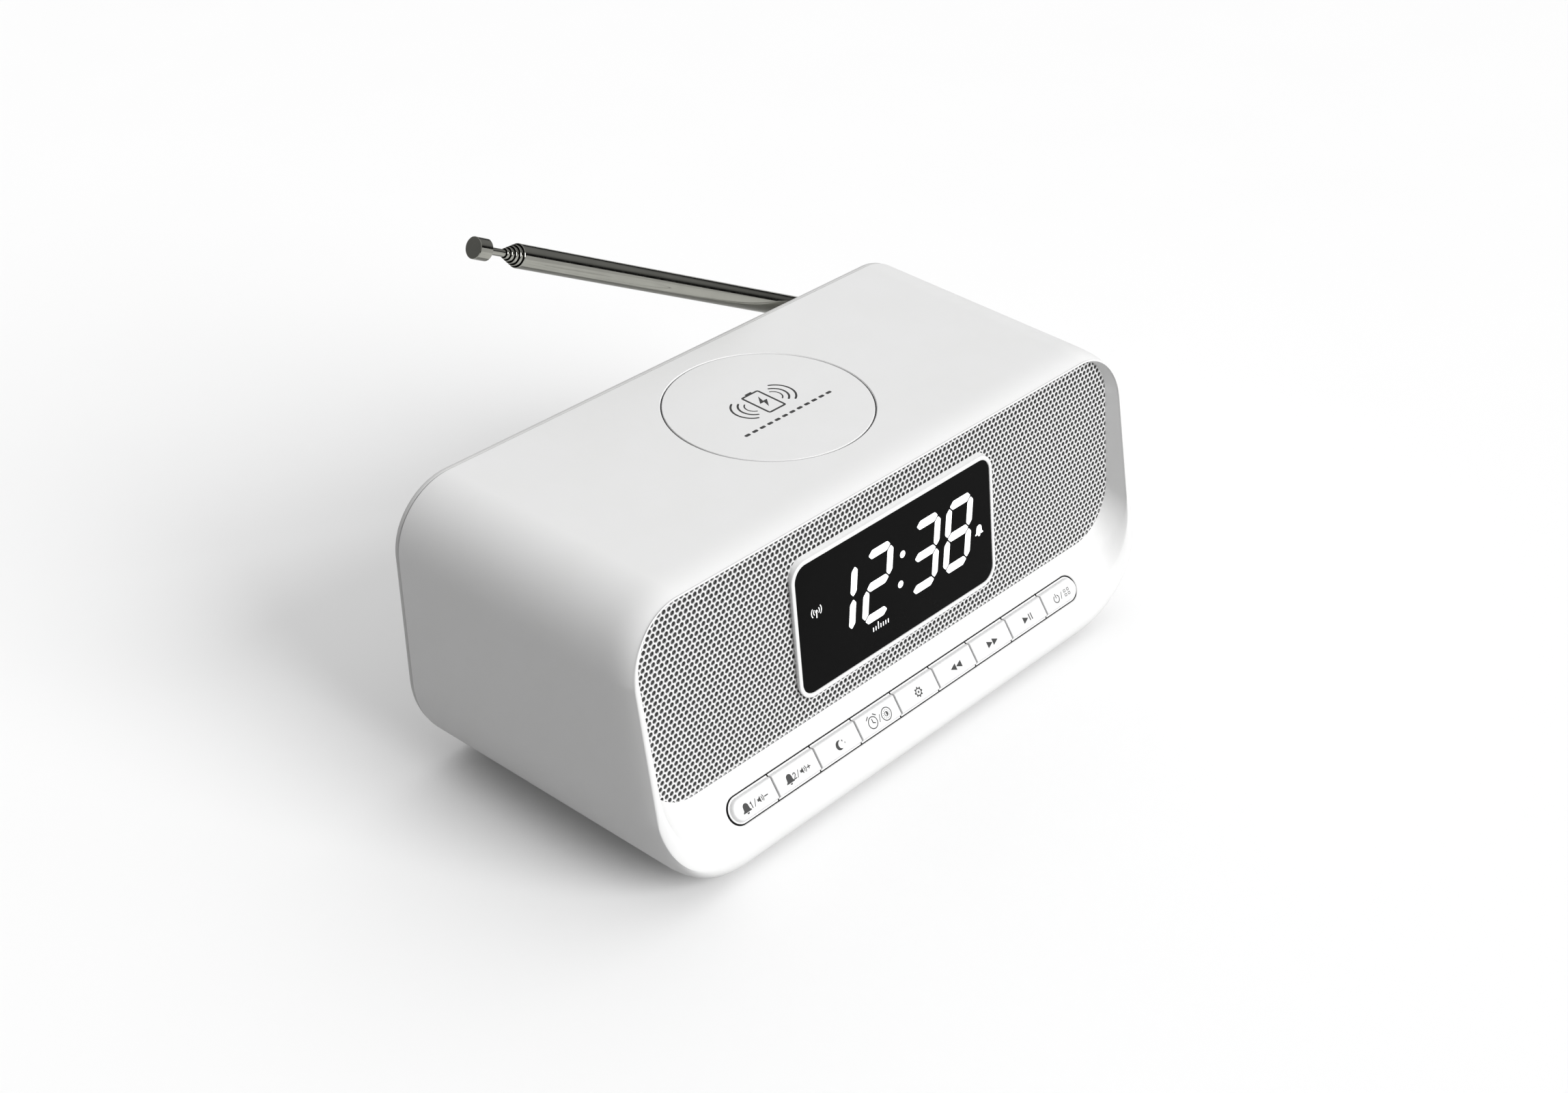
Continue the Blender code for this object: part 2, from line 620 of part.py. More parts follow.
def fork():
    """The swivel: a stud through the rear cover, a round plate behind it and two ears for the hinge pin."""
    cover_y = COVER_BACK - PIVOT.y
    stud = ((0, 0), (3.0 * MM, 0), (3.0 * MM, -3.4 * MM), (5.4 * MM, -3.4 * MM), (5.4 * MM, -4.6 * MM),
            (0, -4.6 * MM))
    swivel = turned("antenna_swivel", stud, 24, chrome, antenna_frame, (0, cover_y + 0.8 * MM, 0), FACE_BACK)
    plate_centre = cover_y + GAP + 0.75 * MM
    disc = cylinder("swivel_disc", 6 * MM, 1.5 * MM, None, antenna_frame, (0, plate_centre, 0), FACE_BACK, 24)
    boolean(swivel, disc, "UNION")
    for side in (-1, 1):
        ear = ear_shape(side)
        boolean(swivel, ear, "UNION")
    eye = cylinder("ear_eye", 1.3 * MM, 12 * MM, None, antenna_frame, (0, 0, 0), ALONG_X, 12)
    boolean(swivel, eye)
    cylinder("antenna_pin", 1.0 * MM, 8.4 * MM, steel, antenna_frame, (0, 0, 0), ALONG_X, 12)


def ear_shape(side):
    """One ear: a strap from the swivel's plate to a round end about the pin."""
    radius = 2.9 * MM
    foot = COVER_BACK - PIVOT.y + GAP + 1.0 * MM
    outline = [(radius * math.cos(math.radians(a)), radius * math.sin(math.radians(a))) for a in range(0, 181, 20)]
    outline = [(foot, radius)] + [(y, z) for z, y in outline] + [(foot, -radius)]
    bm = bmesh.new()
    face = bm.faces.new([bm.verts.new((0, y, z)) for y, z in outline])
    grown = bmesh.ops.extrude_face_region(bm, geom=[face])
    moved = [part for part in grown["geom"] if isinstance(part, bmesh.types.BMVert)]
    bmesh.ops.translate(bm, verts=moved, vec=(side * 1.5 * MM, 0, 0))
    return add_object("ear", bm, None, antenna_frame, (side * 2.0 * MM, 0, 0))


def knuckle():
    """The barrel round the pin, and the stem that carries the first section."""
    half = 1.7 * MM
    barrel = ((2.9 * MM, half), (2.9 * MM, -half), (1.3 * MM, -half), (1.3 * MM, half))
    piece = turned("antenna_knuckle", barrel, 24, chrome, antenna_frame, rotation=ALONG_X, ring=True)
    stem = box("stem", (2 * half, 4.4 * MM, 6.0 * MM), None, antenna_frame, (0, 0, 5.2 * MM))
    collar = cylinder("collar", 3.25 * MM, 2.2 * MM, None, antenna_frame, (0, 0, SECTION_FOOT - GAP - 1.1 * MM), sides=16)
    boolean(piece, stem, "UNION")
    boolean(piece, collar, "UNION")


def section(index):
    """One telescopic section: a thin tube, or the solid rod at the end."""
    name = f"antenna_section_{index + 1}"
    outer = SECTION_RADIUS - index * SECTION_STEP / 2
    foot = SECTION_FOOT + index * 2 * MM
    last = SECTION_COUNT - 1
    top = SECTION_TOP + index * SECTION_REVEAL
    if index < last:
        inner = outer - SECTION_WALL
        rolled = 0.12 * MM
        profile = ((outer - rolled, top), (outer, top - 0.3 * MM), (outer, foot), (inner, foot), (inner, top))
        turned(name, profile, TUBE_SIDES, chrome, antenna_frame, ring=True)
        return
    top = SECTION_TOP + (index - 1) * SECTION_REVEAL + ROD_REVEAL
    turned(name, ((0, top), (outer, top), (outer, foot), (0, foot)), TUBE_SIDES, chrome, antenna_frame)
    tip = ((0, TIP_LENGTH), (TIP_RADIUS * 0.75, TIP_LENGTH), (TIP_RADIUS, TIP_LENGTH * 0.8),
           (TIP_RADIUS, 0.4 * MM), (TIP_RADIUS * 0.85, 0), (0, 0))
    turned("antenna_tip", tip, 24, chrome, antenna_frame, (0, 0, top + GAP))


FACE_BACK = (math.radians(-90), 0, 0)
FACE_FRONT = (math.radians(90), 0, 0)
ALONG_X = (0, math.radians(90), 0)
FRONT_MATRIX = Matrix.Translation((0, FRONT_Y, FRONT_Z)) @ Matrix.Rotation(-FRONT_LEAN, 4, "X")

clear_scene()
radio = new_collection("clock_radio")
cutters = new_collection("cutters")

white = new_material("white_plastic", WHITE, 0.45)
grey = new_material("cover_plastic", (0.7, 0.7, 0.7, 1), 0.5)
black = new_material("window_plastic", BLACK, 0.12)
dark = new_material("dark_plastic", DARK, 0.6)
green = new_material("board", GREEN, 0.5)
copper = new_material("copper_wire", COPPER, 0.4, 1.0)
steel = new_material("steel", STEEL, 0.35, 1.0)
chrome = new_material("dark_chrome", (0.3, 0.3, 0.29, 1), 0.12, 1.0)
rubber = new_material("rubber", (0.03, 0.03, 0.03, 1), 0.8)

front_frame = new_frame("front_plane", (0, FRONT_Y, FRONT_Z), (-FRONT_LEAN, 0, 0))
key_frame = new_frame("key_plane", (0, KEY_ROW_Y, KEY_ROW_Z), (-KEY_ROW_LEAN, 0, 0))
pad_frame = new_frame("pad_plane", (0, DRAFT_Y, TOP_HEIGHT), (math.atan(TOP_DRAFT), 0, 0))
antenna_frame = new_frame("antenna_pivot", PIVOT, (0, ANTENNA_RISE - math.radians(90), 0))

front_shell()
rear_cover()
front_pieces()
speaker("speaker_left", -1)
speaker("speaker_right", 1)
key_row()
charging_parts()
main_board()
sockets()
feet()
rear_screws()
antenna()
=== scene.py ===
"""Looks of the clock radio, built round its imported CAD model.

Lengths are in metres, written in millimetres times MM. X is to the right and Y to the back, as seen from the
front, and Z is up. The housing follows the CAD model's own outlines, sampled more finely, with a roll at the
front rim. The antenna's frame has Z along the rod and X along the hinge pin.
"""

import math

import bmesh
import bpy
from mathutils import Matrix, Vector

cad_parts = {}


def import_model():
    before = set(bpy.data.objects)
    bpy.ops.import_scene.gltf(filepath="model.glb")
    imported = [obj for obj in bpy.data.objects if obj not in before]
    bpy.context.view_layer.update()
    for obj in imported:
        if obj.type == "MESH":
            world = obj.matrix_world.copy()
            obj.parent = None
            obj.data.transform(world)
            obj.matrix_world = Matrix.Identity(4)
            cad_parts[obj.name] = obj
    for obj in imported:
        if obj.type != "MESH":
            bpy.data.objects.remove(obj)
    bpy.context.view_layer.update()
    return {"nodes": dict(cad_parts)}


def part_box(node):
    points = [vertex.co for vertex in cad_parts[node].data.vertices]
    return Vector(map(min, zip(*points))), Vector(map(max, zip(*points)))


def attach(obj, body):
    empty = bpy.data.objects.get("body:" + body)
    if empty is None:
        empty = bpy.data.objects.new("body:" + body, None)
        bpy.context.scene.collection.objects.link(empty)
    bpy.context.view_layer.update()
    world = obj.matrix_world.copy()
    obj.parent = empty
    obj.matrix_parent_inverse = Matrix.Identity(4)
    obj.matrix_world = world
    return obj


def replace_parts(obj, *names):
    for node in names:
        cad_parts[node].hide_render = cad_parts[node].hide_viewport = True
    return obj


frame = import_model()

MM = 0.001

# Housing.
HALF_WIDTH = 99.34 * MM
SIDE_DRAFT = 0.018
TOP_HEIGHT = 85.51 * MM
TOP_DRAFT = 0.0265
DRAFT_Y = 11 * MM
TOP_RADIUS = 18.9 * MM
BASE_RADIUS = 28.9 * MM
WALL = 2.3 * MM
SHELL_BACK = 47.4 * MM
COVER_BACK = 49.2 * MM
RIM_FOOT_Y = -48.2 * MM
RIM_FOOT_Z = 5.6 * MM
RIM_LEAN = 0.178
CORNER_STEPS = 24

# Front plane.
FRONT_Y = -36.1 * MM
FRONT_Z = 51.83 * MM
FRONT_LEAN = math.radians(5.66)
GRILLE_DEPTH = 1.4 * MM
GRILLE_THICKNESS = 0.3 * MM
GRILLE_HALF_WIDTH = 94.6 * MM
GRILLE_LOW = -27.25 * MM
GRILLE_HIGH = 30.2 * MM
GRILLE_LOW_RADIUS = 15.2 * MM
GRILLE_HIGH_RADIUS = 14.2 * MM
GROOVE = 1.1 * MM
LEDGE_DEPTH = 2.5 * MM
LEDGE_THICKNESS = 1.5 * MM
LEDGE_WIDTH = 2.5 * MM
HOLE_PITCH = 1.75 * MM
HOLE_RADIUS = 0.71 * MM

# Display.
WINDOW_HALF_WIDTH = 39.14 * MM
WINDOW_HALF_HEIGHT = 18.93 * MM
WINDOW_RADIUS = 4.2 * MM
WINDOW_THICKNESS = 1.5 * MM
BEZEL_WIDTH = 1.3 * MM
BEZEL_SKIRT = 0.65 * MM
BEZEL_PROUD = 0.2 * MM
BEZEL_BACK = 5.8 * MM

# Keys.
KEY_ROW_Y = -42.81 * MM
KEY_ROW_Z = 16.44 * MM
KEY_ROW_LEAN = math.radians(35.4)
KEY_PITCH = 16.13 * MM
KEY_HEIGHT = 7.5 * MM
KEY_PROUD = 1.2 * MM
KEY_SUNK = 4.2 * MM
KEY_GAP = 0.3 * MM
SLOT_DEPTH = 8 * MM
KEY_NAMES = ("alarm_1", "alarm_2", "sleep", "snooze", "set", "back", "forward", "play", "power")

# Charging pad.
PAD_RADIUS = 28.84 * MM
PAD_GROOVE = 0.4 * MM
PAD_THICKNESS = 1.0 * MM
PAD_FLOOR_GAP = 0.3 * MM
PAD_SIDES = 128
FOOT_POCKET_RADIUS = 6.3 * MM
FOOT_POCKET_DEPTH = 0.8 * MM

# Antenna.
ANTENNA_RISE = math.radians(26.9)
SECTION_COUNT = 6
SECTION_STEP = 0.9 * MM
SECTION_WALL = 0.2 * MM
SECTION_RADIUS = 3.25 * MM
SECTION_FOOT = 9 * MM
SECTION_TOP = 146 * MM
SECTION_REVEAL = 1.1 * MM
ROD_REVEAL = 6.5 * MM
TIP_RADIUS = 2.9 * MM
TIP_LENGTH = 4.3 * MM


def mm(value):
    """A number of millimetres, or a nest of them, in metres."""
    return tuple(mm(part) for part in value) if isinstance(value, tuple) else value * MM


def middle(node):
    low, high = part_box(node)
    return (low + high) / 2


def turn(degrees, axis):
    return Matrix.Rotation(math.radians(degrees), 4, axis)


# Each of these has X along the plane, Y up it and Z out of it.
FRONT = Matrix.Translation((0, FRONT_Y, FRONT_Z)) @ Matrix.Rotation(-FRONT_LEAN, 4, "X") @ turn(90, "X")
KEYS = Matrix.Translation((0, KEY_ROW_Y, KEY_ROW_Z)) @ Matrix.Rotation(-KEY_ROW_LEAN, 4, "X") @ turn(90, "X")
PAD = Matrix.Translation((0, DRAFT_Y, TOP_HEIGHT)) @ Matrix.Rotation(math.atan(TOP_DRAFT), 4, "X")
ANTENNA = Matrix.Translation(middle("antenna_pin")) @ Matrix.Rotation(ANTENNA_RISE - math.pi / 2, 4, "Y")


# Materials.
NOISE_LOW = 0.3
NOISE_HIGH = 0.7
GLOSS_FINENESS = 6
GRAIN_STRENGTH = 0.6
COAT_ROUGHNESS = 0.15
LIT_LEAST = 0.96


def new_nodes(name):
    material = bpy.data.materials.new(name)
    material.use_nodes = True
    tree = material.node_tree
    return material, tree, tree.nodes["Principled BSDF"]


def add_node(tree, kind, links=None, values=None, **settings):
    """A new shader node with its settings, and its inputs linked from sockets or set to values."""
    node = tree.nodes.new("ShaderNode" + kind)
    for name, value in settings.items():
        setattr(node, name, value)
    for name, value in (values or {}).items():
        node.inputs[name].default_value = value
    for name, socket in (links or {}).items():
        tree.links.new(socket, node.inputs[name])
    return node


def noise(tree, scale, detail=2.0):
    """A noise value over the object's own coordinates, so that it moves with the piece."""
    place = add_node(tree, "TexCoord").outputs["Object"]
    return add_node(tree, "TexNoise", {"Vector": place}, {"Scale": scale, "Detail": detail}).outputs["Fac"]


def spread(tree, value, low, high):
    """Maps a noise value's middle range to low..high."""
    return add_node(tree, "MapRange", {"Value": value}, {
        "From Min": NOISE_LOW, "From Max": NOISE_HIGH, "To Min": low, "To Max": high}).outputs["Result"]


def vary_colour(tree, shader, value, first, second):
    mix = add_node(tree, "Mix", {"Factor": spread(tree, value, 0, 1)}, {"A": (*first, 1), "B": (*second, 1)},
                   data_type="RGBA")
    tree.links.new(mix.outputs["Result"], shader.inputs["Base Color"])


def bump(tree, shader, value, height, strength):
    node = add_node(tree, "Bump", {"Height": value}, {"Strength": strength, "Distance": height})
    tree.links.new(node.outputs["Normal"], shader.inputs["Normal"])


def gray(value):
    return (value, value, value)


def surface(name, colour, roughness, tone=0.03, cloud=60, grain=2200, grain_height=0.01, metallic=0.0,
            specular=0.5, coat=0.0, tint=(1, 1, 1)):
    """A moulded, painted or metal surface: cloudy tone, uneven gloss and a fine grain, its height in mm."""
    material, tree, shader = new_nodes(name)
    dark_tone = [c * (1 - tone) * t for c, t in zip(colour, tint)]
    vary_colour(tree, shader, noise(tree, cloud, 3.0), dark_tone, colour)
    tree.links.new(spread(tree, noise(tree, cloud * GLOSS_FINENESS), *roughness), shader.inputs["Roughness"])
    bump(tree, shader, noise(tree, grain), grain_height * MM, GRAIN_STRENGTH)
    shader.inputs["Metallic"].default_value = metallic
    shader.inputs["Specular IOR Level"].default_value = specular
    if coat:
        shader.inputs["Coat Weight"].default_value = coat
        shader.inputs["Coat Roughness"].default_value = COAT_ROUGHNESS
    return material


def glowing(name, colour, strength):
    """Lit segments: bright, a little uneven, behind a clear skin."""
    material, tree, shader = new_nodes(name)
    patchy = noise(tree, 400)
    vary_colour(tree, shader, patchy, [c * LIT_LEAST for c in colour], colour)
    tree.links.new(spread(tree, noise(tree, 900), 0.3, 0.4), shader.inputs["Roughness"])
    shader.inputs["Emission Color"].default_value = (*colour, 1)
    tree.links.new(spread(tree, patchy, strength * LIT_LEAST, strength), shader.inputs["Emission Strength"])
    bump(tree, shader, noise(tree, 1500), 0.004 * MM, 0.3)
    return material


white = surface("white_plastic", gray(0.735), (0.46, 0.56), tone=0.015, grain=2600, specular=0.34,
                tint=(1, 1, 0.995))
key_white = surface("key_plastic", gray(0.745), (0.42, 0.52), tone=0.015, grain=3000, specular=0.34)
grille_white = surface("grille_paint", gray(0.72), (0.38, 0.5), cloud=150, grain=5000)
cover_grey = surface("cover_plastic", (0.60, 0.60, 0.595), (0.45, 0.58), grain=1300, grain_height=0.02)
glass = surface("window_plastic", gray(0.004), (0.1, 0.16), tone=0.15, cloud=30, grain=900,
                grain_height=0.001, specular=0.04)
# Dark plastic for the inner parts and sockets, also used for the painted shade in the key slot and the pad's
# groove.
dark = surface("dark_plastic", (0.045, 0.045, 0.048), (0.5, 0.65), tone=0.2, grain=1600, grain_height=0.02)
baffle_grey = surface("baffle_felt", gray(0.08), (0.8, 0.95), tone=0.35, cloud=700, grain=4000,
                      grain_height=0.05)
print_grey = surface("key_print", gray(0.035), (0.5, 0.6), tone=0.1, cloud=900)
pad_print = surface("pad_print", gray(0.05), (0.5, 0.6), tone=0.15, cloud=900)
board_green = surface("board", (0.02, 0.12, 0.05), (0.3, 0.45), tone=0.3, cloud=250, grain=900,
                      grain_height=0.02, coat=0.3)
paper = surface("paper_cone", gray(0.035), (0.8, 0.95), tone=0.4, cloud=900, grain=2500, grain_height=0.06)
ferrite = surface("magnet", (0.05, 0.05, 0.052), (0.55, 0.75), tone=0.3, cloud=400, grain=1800,
                  grain_height=0.03)
copper = surface("copper_wire", (0.75, 0.33, 0.14), (0.25, 0.4), tone=0.25, cloud=500, metallic=1.0)
steel = surface("steel", (0.5, 0.5, 0.49), (0.28, 0.42), tone=0.12, cloud=300, metallic=1.0)
gold = surface("contact_metal", (0.8, 0.6, 0.28), (0.2, 0.35), tone=0.1, cloud=500, metallic=1.0)
chrome = surface("dark_chrome", (0.46, 0.46, 0.415), (0.05, 0.13), tone=0.12, cloud=120, grain=900,
                 grain_height=0.0015, metallic=1.0)
rubber = surface("rubber", gray(0.03), (0.75, 0.9), tone=0.3, cloud=300, grain=2600, grain_height=0.04)
lit = glowing("lit_segments", (0.95, 0.96, 0.97), 0.75)


# Meshes.
SHARP_ANGLE = math.radians(30)
EVEN_SHADING = "even shading"
MITRE_LEAST = 0.5
LEAST_LENGTH = 1e-7
SPLIT_SNAP = 1e-8


def new_mesh(name, bm, matrix):
    """A mesh from a bmesh in the given frame, with its faces outward."""
    if matrix is not None:
        bm.transform(matrix)
    bmesh.ops.recalc_face_normals(bm, faces=bm.faces)
    mesh = bpy.data.meshes.new(name)
    bm.to_mesh(mesh)
    bm.free()
    return mesh


def new_object(name, data):
    item = bpy.data.objects.new(name, data)
    bpy.context.scene.collection.objects.link(item)
    return item


def shade(mesh):
    mesh.shade_smooth()
    mesh.set_sharp_from_angle(angle=SHARP_ANGLE)


def add_piece(name, bm, material, body, matrix=None):
    """A named piece, made from a bmesh in the given frame, hung under an empty named for a CAD body."""
    mesh = new_mesh(name, bm, matrix)
    mesh.materials.append(material)
    shade(mesh)
    piece = new_object(name, mesh)
    weighing = piece.modifiers.new(EVEN_SHADING, "WEIGHTED_NORMAL")
    weighing.keep_sharp = True
    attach(piece, body)
    return piece


def cut(piece, bm, matrix):
    """Cuts a solid out of a piece."""
    cutter = new_object("cutter", new_mesh("cutter", bm, matrix))
    weighing = piece.modifiers[EVEN_SHADING]
    weighing.show_viewport = False
    modifier = piece.modifiers.new("cut", "BOOLEAN")
    modifier.operation = "DIFFERENCE"
    modifier.solver = "EXACT"
    modifier.object = cutter
    evaluated = piece.evaluated_get(bpy.context.evaluated_depsgraph_get())
    piece.data = bpy.data.meshes.new_from_object(evaluated)
    piece.modifiers.remove(modifier)
    shade(piece.data)
    bpy.data.objects.remove(cutter)
    weighing.show_viewport = True


def join_rings(bm, rings, closed=False, capped=False):
    """Joins rings of points with quads; a ring of one point makes a fan."""
    loops = [[bm.verts.new(point) for point in ring] for ring in rings]
    pairs = list(zip(loops, loops[1:]))
    if closed:
        pairs.append((loops[-1], loops[0]))
    for first, second in pairs:
        count = max(len(first), len(second))
        for i in range(count):
            j = (i + 1) % count
            corners = [first[i % len(first)], first[j % len(first)],
                       second[j % len(second)], second[i % len(second)]]
            bm.faces.new(list(dict.fromkeys(corners)))
    if capped:
        bm.faces.new(loops[0])
        bm.faces.new(loops[-1])
    return bm


def loft(rings, closed=False, capped=False):
    return join_rings(bmesh.new(), rings, closed, capped)


def stacked(*levels):
    """Rings of points from (flat outline, height) pairs."""
    return [[(x, y, height) for x, y in outline] for outline, height in levels]


def turned(profile, sides=48, closed=False):
    """A shape turned about Z from (radius, height) points; a closed profile is a ring."""
    rings = []
    for radius, height in profile:
        angles = [2 * math.pi * i / sides for i in range(sides)] if radius > 0 else [0]
        rings.append([(radius * math.cos(a), radius * math.sin(a), height) for a in angles])
    return loft(rings, closed)


def drum(radius, low, high, sides=48):
    """A solid cylinder between two heights."""
    return turned(((0, low), (radius, low), (radius, high), (0, high)), sides)


def hoop(outer, inner, low, high, bm):
    """A flat ring between two outlines with the same number of points."""
    return join_rings(bm, stacked((outer, low), (outer, high), (inner, high), (inner, low)), closed=True)


def box_outline(width, height, x=0.0, y=0.0):
    return [(x + sx * width / 2, y + sy * height / 2) for sx, sy in ((-1, -1), (1, -1), (1, 1), (-1, 1))]


def arc(x, y, radius, start, end, steps):
    """Points of an arc, with its angles in degrees."""
    angles = [math.radians(start + (end - start) * i / steps) for i in range(steps + 1)]
    return [(x + radius * math.cos(a), y + radius * math.sin(a)) for a in angles]


def circle(x, y, radius, steps):
    return arc(x, y, radius, 0, 360, steps)[:-1]


def softened(outline, radius):
    """The outline with each corner cut to a short curve."""
    points = []
    for i, corner in enumerate(outline):
        corner = Vector(corner)
        for neighbour in (outline[i - 1], outline[(i + 1) % len(outline)]):
            side = Vector(neighbour) - corner
            points.append(corner + side.normalized() * min(radius, side.length / 2.2))
        points.insert(-1, (points[-2] + points[-1]) / 4 + corner / 2)
    return [tuple(p) for p in points]


def stroke(points, width, round_ends=True):
    """The outline of a line of the given width through points."""
    points = [Vector(p) for p in points]
    left, right = [], []
    for i, point in enumerate(points):
        ahead = points[min(i + 1, len(points) - 1)] - point
        behind = point - points[max(i - 1, 0)]
        direction = (ahead.normalized() + behind.normalized()).normalized()
        normal = Vector((-direction.y, direction.x))
        reach = width / 2
        if ahead.length:
            reach /= max(normal.dot(Vector((-ahead.y, ahead.x)).normalized()), MITRE_LEAST)
        left.append(point + normal * reach)
        right.append(point - normal * reach)
    outline = list(left)
    if round_ends:
        outline += end_cap(points[-1], left[-1])
    outline += right[::-1]
    if round_ends:
        outline += end_cap(points[0], right[0])
    return [tuple(p) for p in outline]


def end_cap(centre, start, steps=6):
    """Points of the half circle about centre that begins at start, without its ends."""
    arm = start - centre
    return [centre + Matrix.Rotation(-math.pi * i / steps, 2) @ arm for i in range(1, steps)]


class Marks:
    """Flat marks on a plane, drawn in millimetres and gathered into one piece."""

    def __init__(self, low, high):
        self.bm = bmesh.new()
        self.low = low
        self.high = high

    def fill(self, outline):
        outline = mm(tuple(map(tuple, outline)))
        join_rings(self.bm, stacked((outline, self.low), (outline, self.high)), capped=True)

    def frame(self, outer, inner):
        outer, inner = mm(tuple(map(tuple, outer))), mm(tuple(map(tuple, inner)))
        hoop(outer, inner, self.low, self.high, self.bm)

    def line(self, points, width, round_ends=True):
        self.fill(stroke(points, width, round_ends))

    def ring(self, x, y, radius, width, steps):
        self.frame(circle(x, y, radius + width / 2, steps), circle(x, y, radius - width / 2, steps))


# Housing outlines, as in the CAD model.

def corner_places():
    """(side, is upper, angle) for each point round an outline, anticlockwise from the lower right corner."""
    places = []
    for side, upper, start in ((1, False, -90), (1, True, 0), (-1, True, 90), (-1, False, 180)):
        places += [(side, upper, math.radians(start + 90 * i / CORNER_STEPS))
                   for i in range(CORNER_STEPS + 1)]
    return places


CORNERS = corner_places()


def outline_point(corner, half_width, low, high, low_radius, high_radius):
    side, upper, angle = corner
    radius = high_radius if upper else low_radius
    centre_z = high - radius if upper else low + radius
    return Vector((side * (half_width - radius) + radius * math.cos(angle),
                   centre_z + radius * math.sin(angle)))


def rounded_outline(half_width, low, high, low_radius, high_radius):
    return [outline_point(corner, half_width, low, high, low_radius, high_radius) for corner in CORNERS]


def housing_point(corner, y, inset):
    half_width = HALF_WIDTH + SIDE_DRAFT * (y - DRAFT_Y)
    height = TOP_HEIGHT + TOP_DRAFT * (y - DRAFT_Y)
    return outline_point(corner, half_width - inset, inset, height - inset,
                         BASE_RADIUS - inset, TOP_RADIUS - inset)


def housing_ring(y, inset):
    points = [housing_point(corner, y, inset) for corner in CORNERS]
    return [Vector((p.x, y, p.y)) for p in points]


def grille_outline(inset):
    return rounded_outline(GRILLE_HALF_WIDTH - inset, GRILLE_LOW + inset, GRILLE_HIGH - inset,
                           GRILLE_LOW_RADIUS - inset, GRILLE_HIGH_RADIUS - inset)


def grille_ring(depth, inset):
    return [FRONT @ Vector((p.x, p.y, -depth)) for p in grille_outline(inset)]


def rim_y(z):
    return RIM_FOOT_Y + RIM_LEAN * (z - RIM_FOOT_Z)


def chin_share(corner):
    """0 beside and above the grille, 1 along the chin, and in between round the lower corners."""
    _, upper, angle = corner
    if upper:
        return 0
    share = abs(math.sin(angle))
    return share * share * (3 - 2 * share)


# The front surface, from the grille outwards: the rim beside the grille, and the chin below it.
# The first three are shares of the way from the grille to the housing's side.
RIM_START = 0.34
RIM_EDGE = 0.38
RIM_OUTER = 0.58
RIM_FILLET = 0.5 * MM
SIDE_FALL = 1.45 * MM
SIDE_FALL_LENGTH = 13 * MM
SIDE_FALL_POWER = 4
LEAST_REACH = 2.2 * MM
CHIN_PULL = 0.6
UNDER_PULL = 0.55
FACE_TOP_Z = 19.41 * MM
FACE_LOW_Z = 12.6 * MM
FOREMOST_Z = 5.6 * MM
FOREMOST_Y = -48.2 * MM
UNDERSIDE_Y = -41.5 * MM


def side_at(step):
    """(share of the way out, inset from the housing, distance back from the rim) at a step from 0 to 6."""
    if step <= 1:
        angle = step * math.pi / 2
        share = RIM_START + (RIM_EDGE - RIM_START) * (1 - math.cos(angle))
        return share, 0, RIM_FILLET * (1 - math.sin(angle))
    if step <= 2:
        return RIM_EDGE + (RIM_OUTER - RIM_EDGE) * (step - 1), 0, 0
    if step <= 3:
        angle = (step - 2) * math.pi / 2
        across = math.sin(angle)
        share = RIM_OUTER * (1 - across) + across
        return share, side_fall(RIM_FILLET) * across, RIM_FILLET * (1 - math.cos(angle))
    back = RIM_FILLET + (SIDE_FALL_LENGTH - RIM_FILLET) * (step - 3) / 3
    return 1, side_fall(back), back


def side_fall(back):
    """How far the side wall has rolled in at a distance back from the rim."""
    return SIDE_FALL * max(0, 1 - back / SIDE_FALL_LENGTH) ** SIDE_FALL_POWER


def curve(start, pull_start, pull_end, end, t):
    """A point of a cubic Bezier curve."""
    s = 1 - t
    return tuple(a * s ** 3 + 3 * b * s * s * t + 3 * c * s * t * t + d * t ** 3
                 for a, b, c, d in zip(start, pull_start, pull_end, end))


def face_y(z):
    """The slanted face that holds the keys."""
    return KEY_ROW_Y + math.tan(KEY_ROW_LEAN) * (z - KEY_ROW_Z)


def toward(start, end, share):
    return tuple(a + (b - a) * share for a, b in zip(start, end))


def chin_at(step):
    """(z, y) of the chin's section at a step from 0 to 6."""
    face_low = (FACE_LOW_Z, face_y(FACE_LOW_Z))
    foremost = (FOREMOST_Z, FOREMOST_Y)
    if step <= 1:
        z = FACE_TOP_Z + (FACE_LOW_Z - FACE_TOP_Z) * step
        return (z, face_y(z))
    if step <= 3:
        bend = (KEY_ROW_Z + (FOREMOST_Y - KEY_ROW_Y) / math.tan(KEY_ROW_LEAN), FOREMOST_Y)
        return curve(face_low, toward(face_low, bend, CHIN_PULL), toward(foremost, bend, CHIN_PULL), foremost,
                     (step - 1) / 2)
    under = (0, UNDERSIDE_Y)
    bend = (0, FOREMOST_Y)
    return curve(foremost, toward(foremost, bend, UNDER_PULL), toward(under, bend, UNDER_PULL), under,
                 (step - 3) / 3)


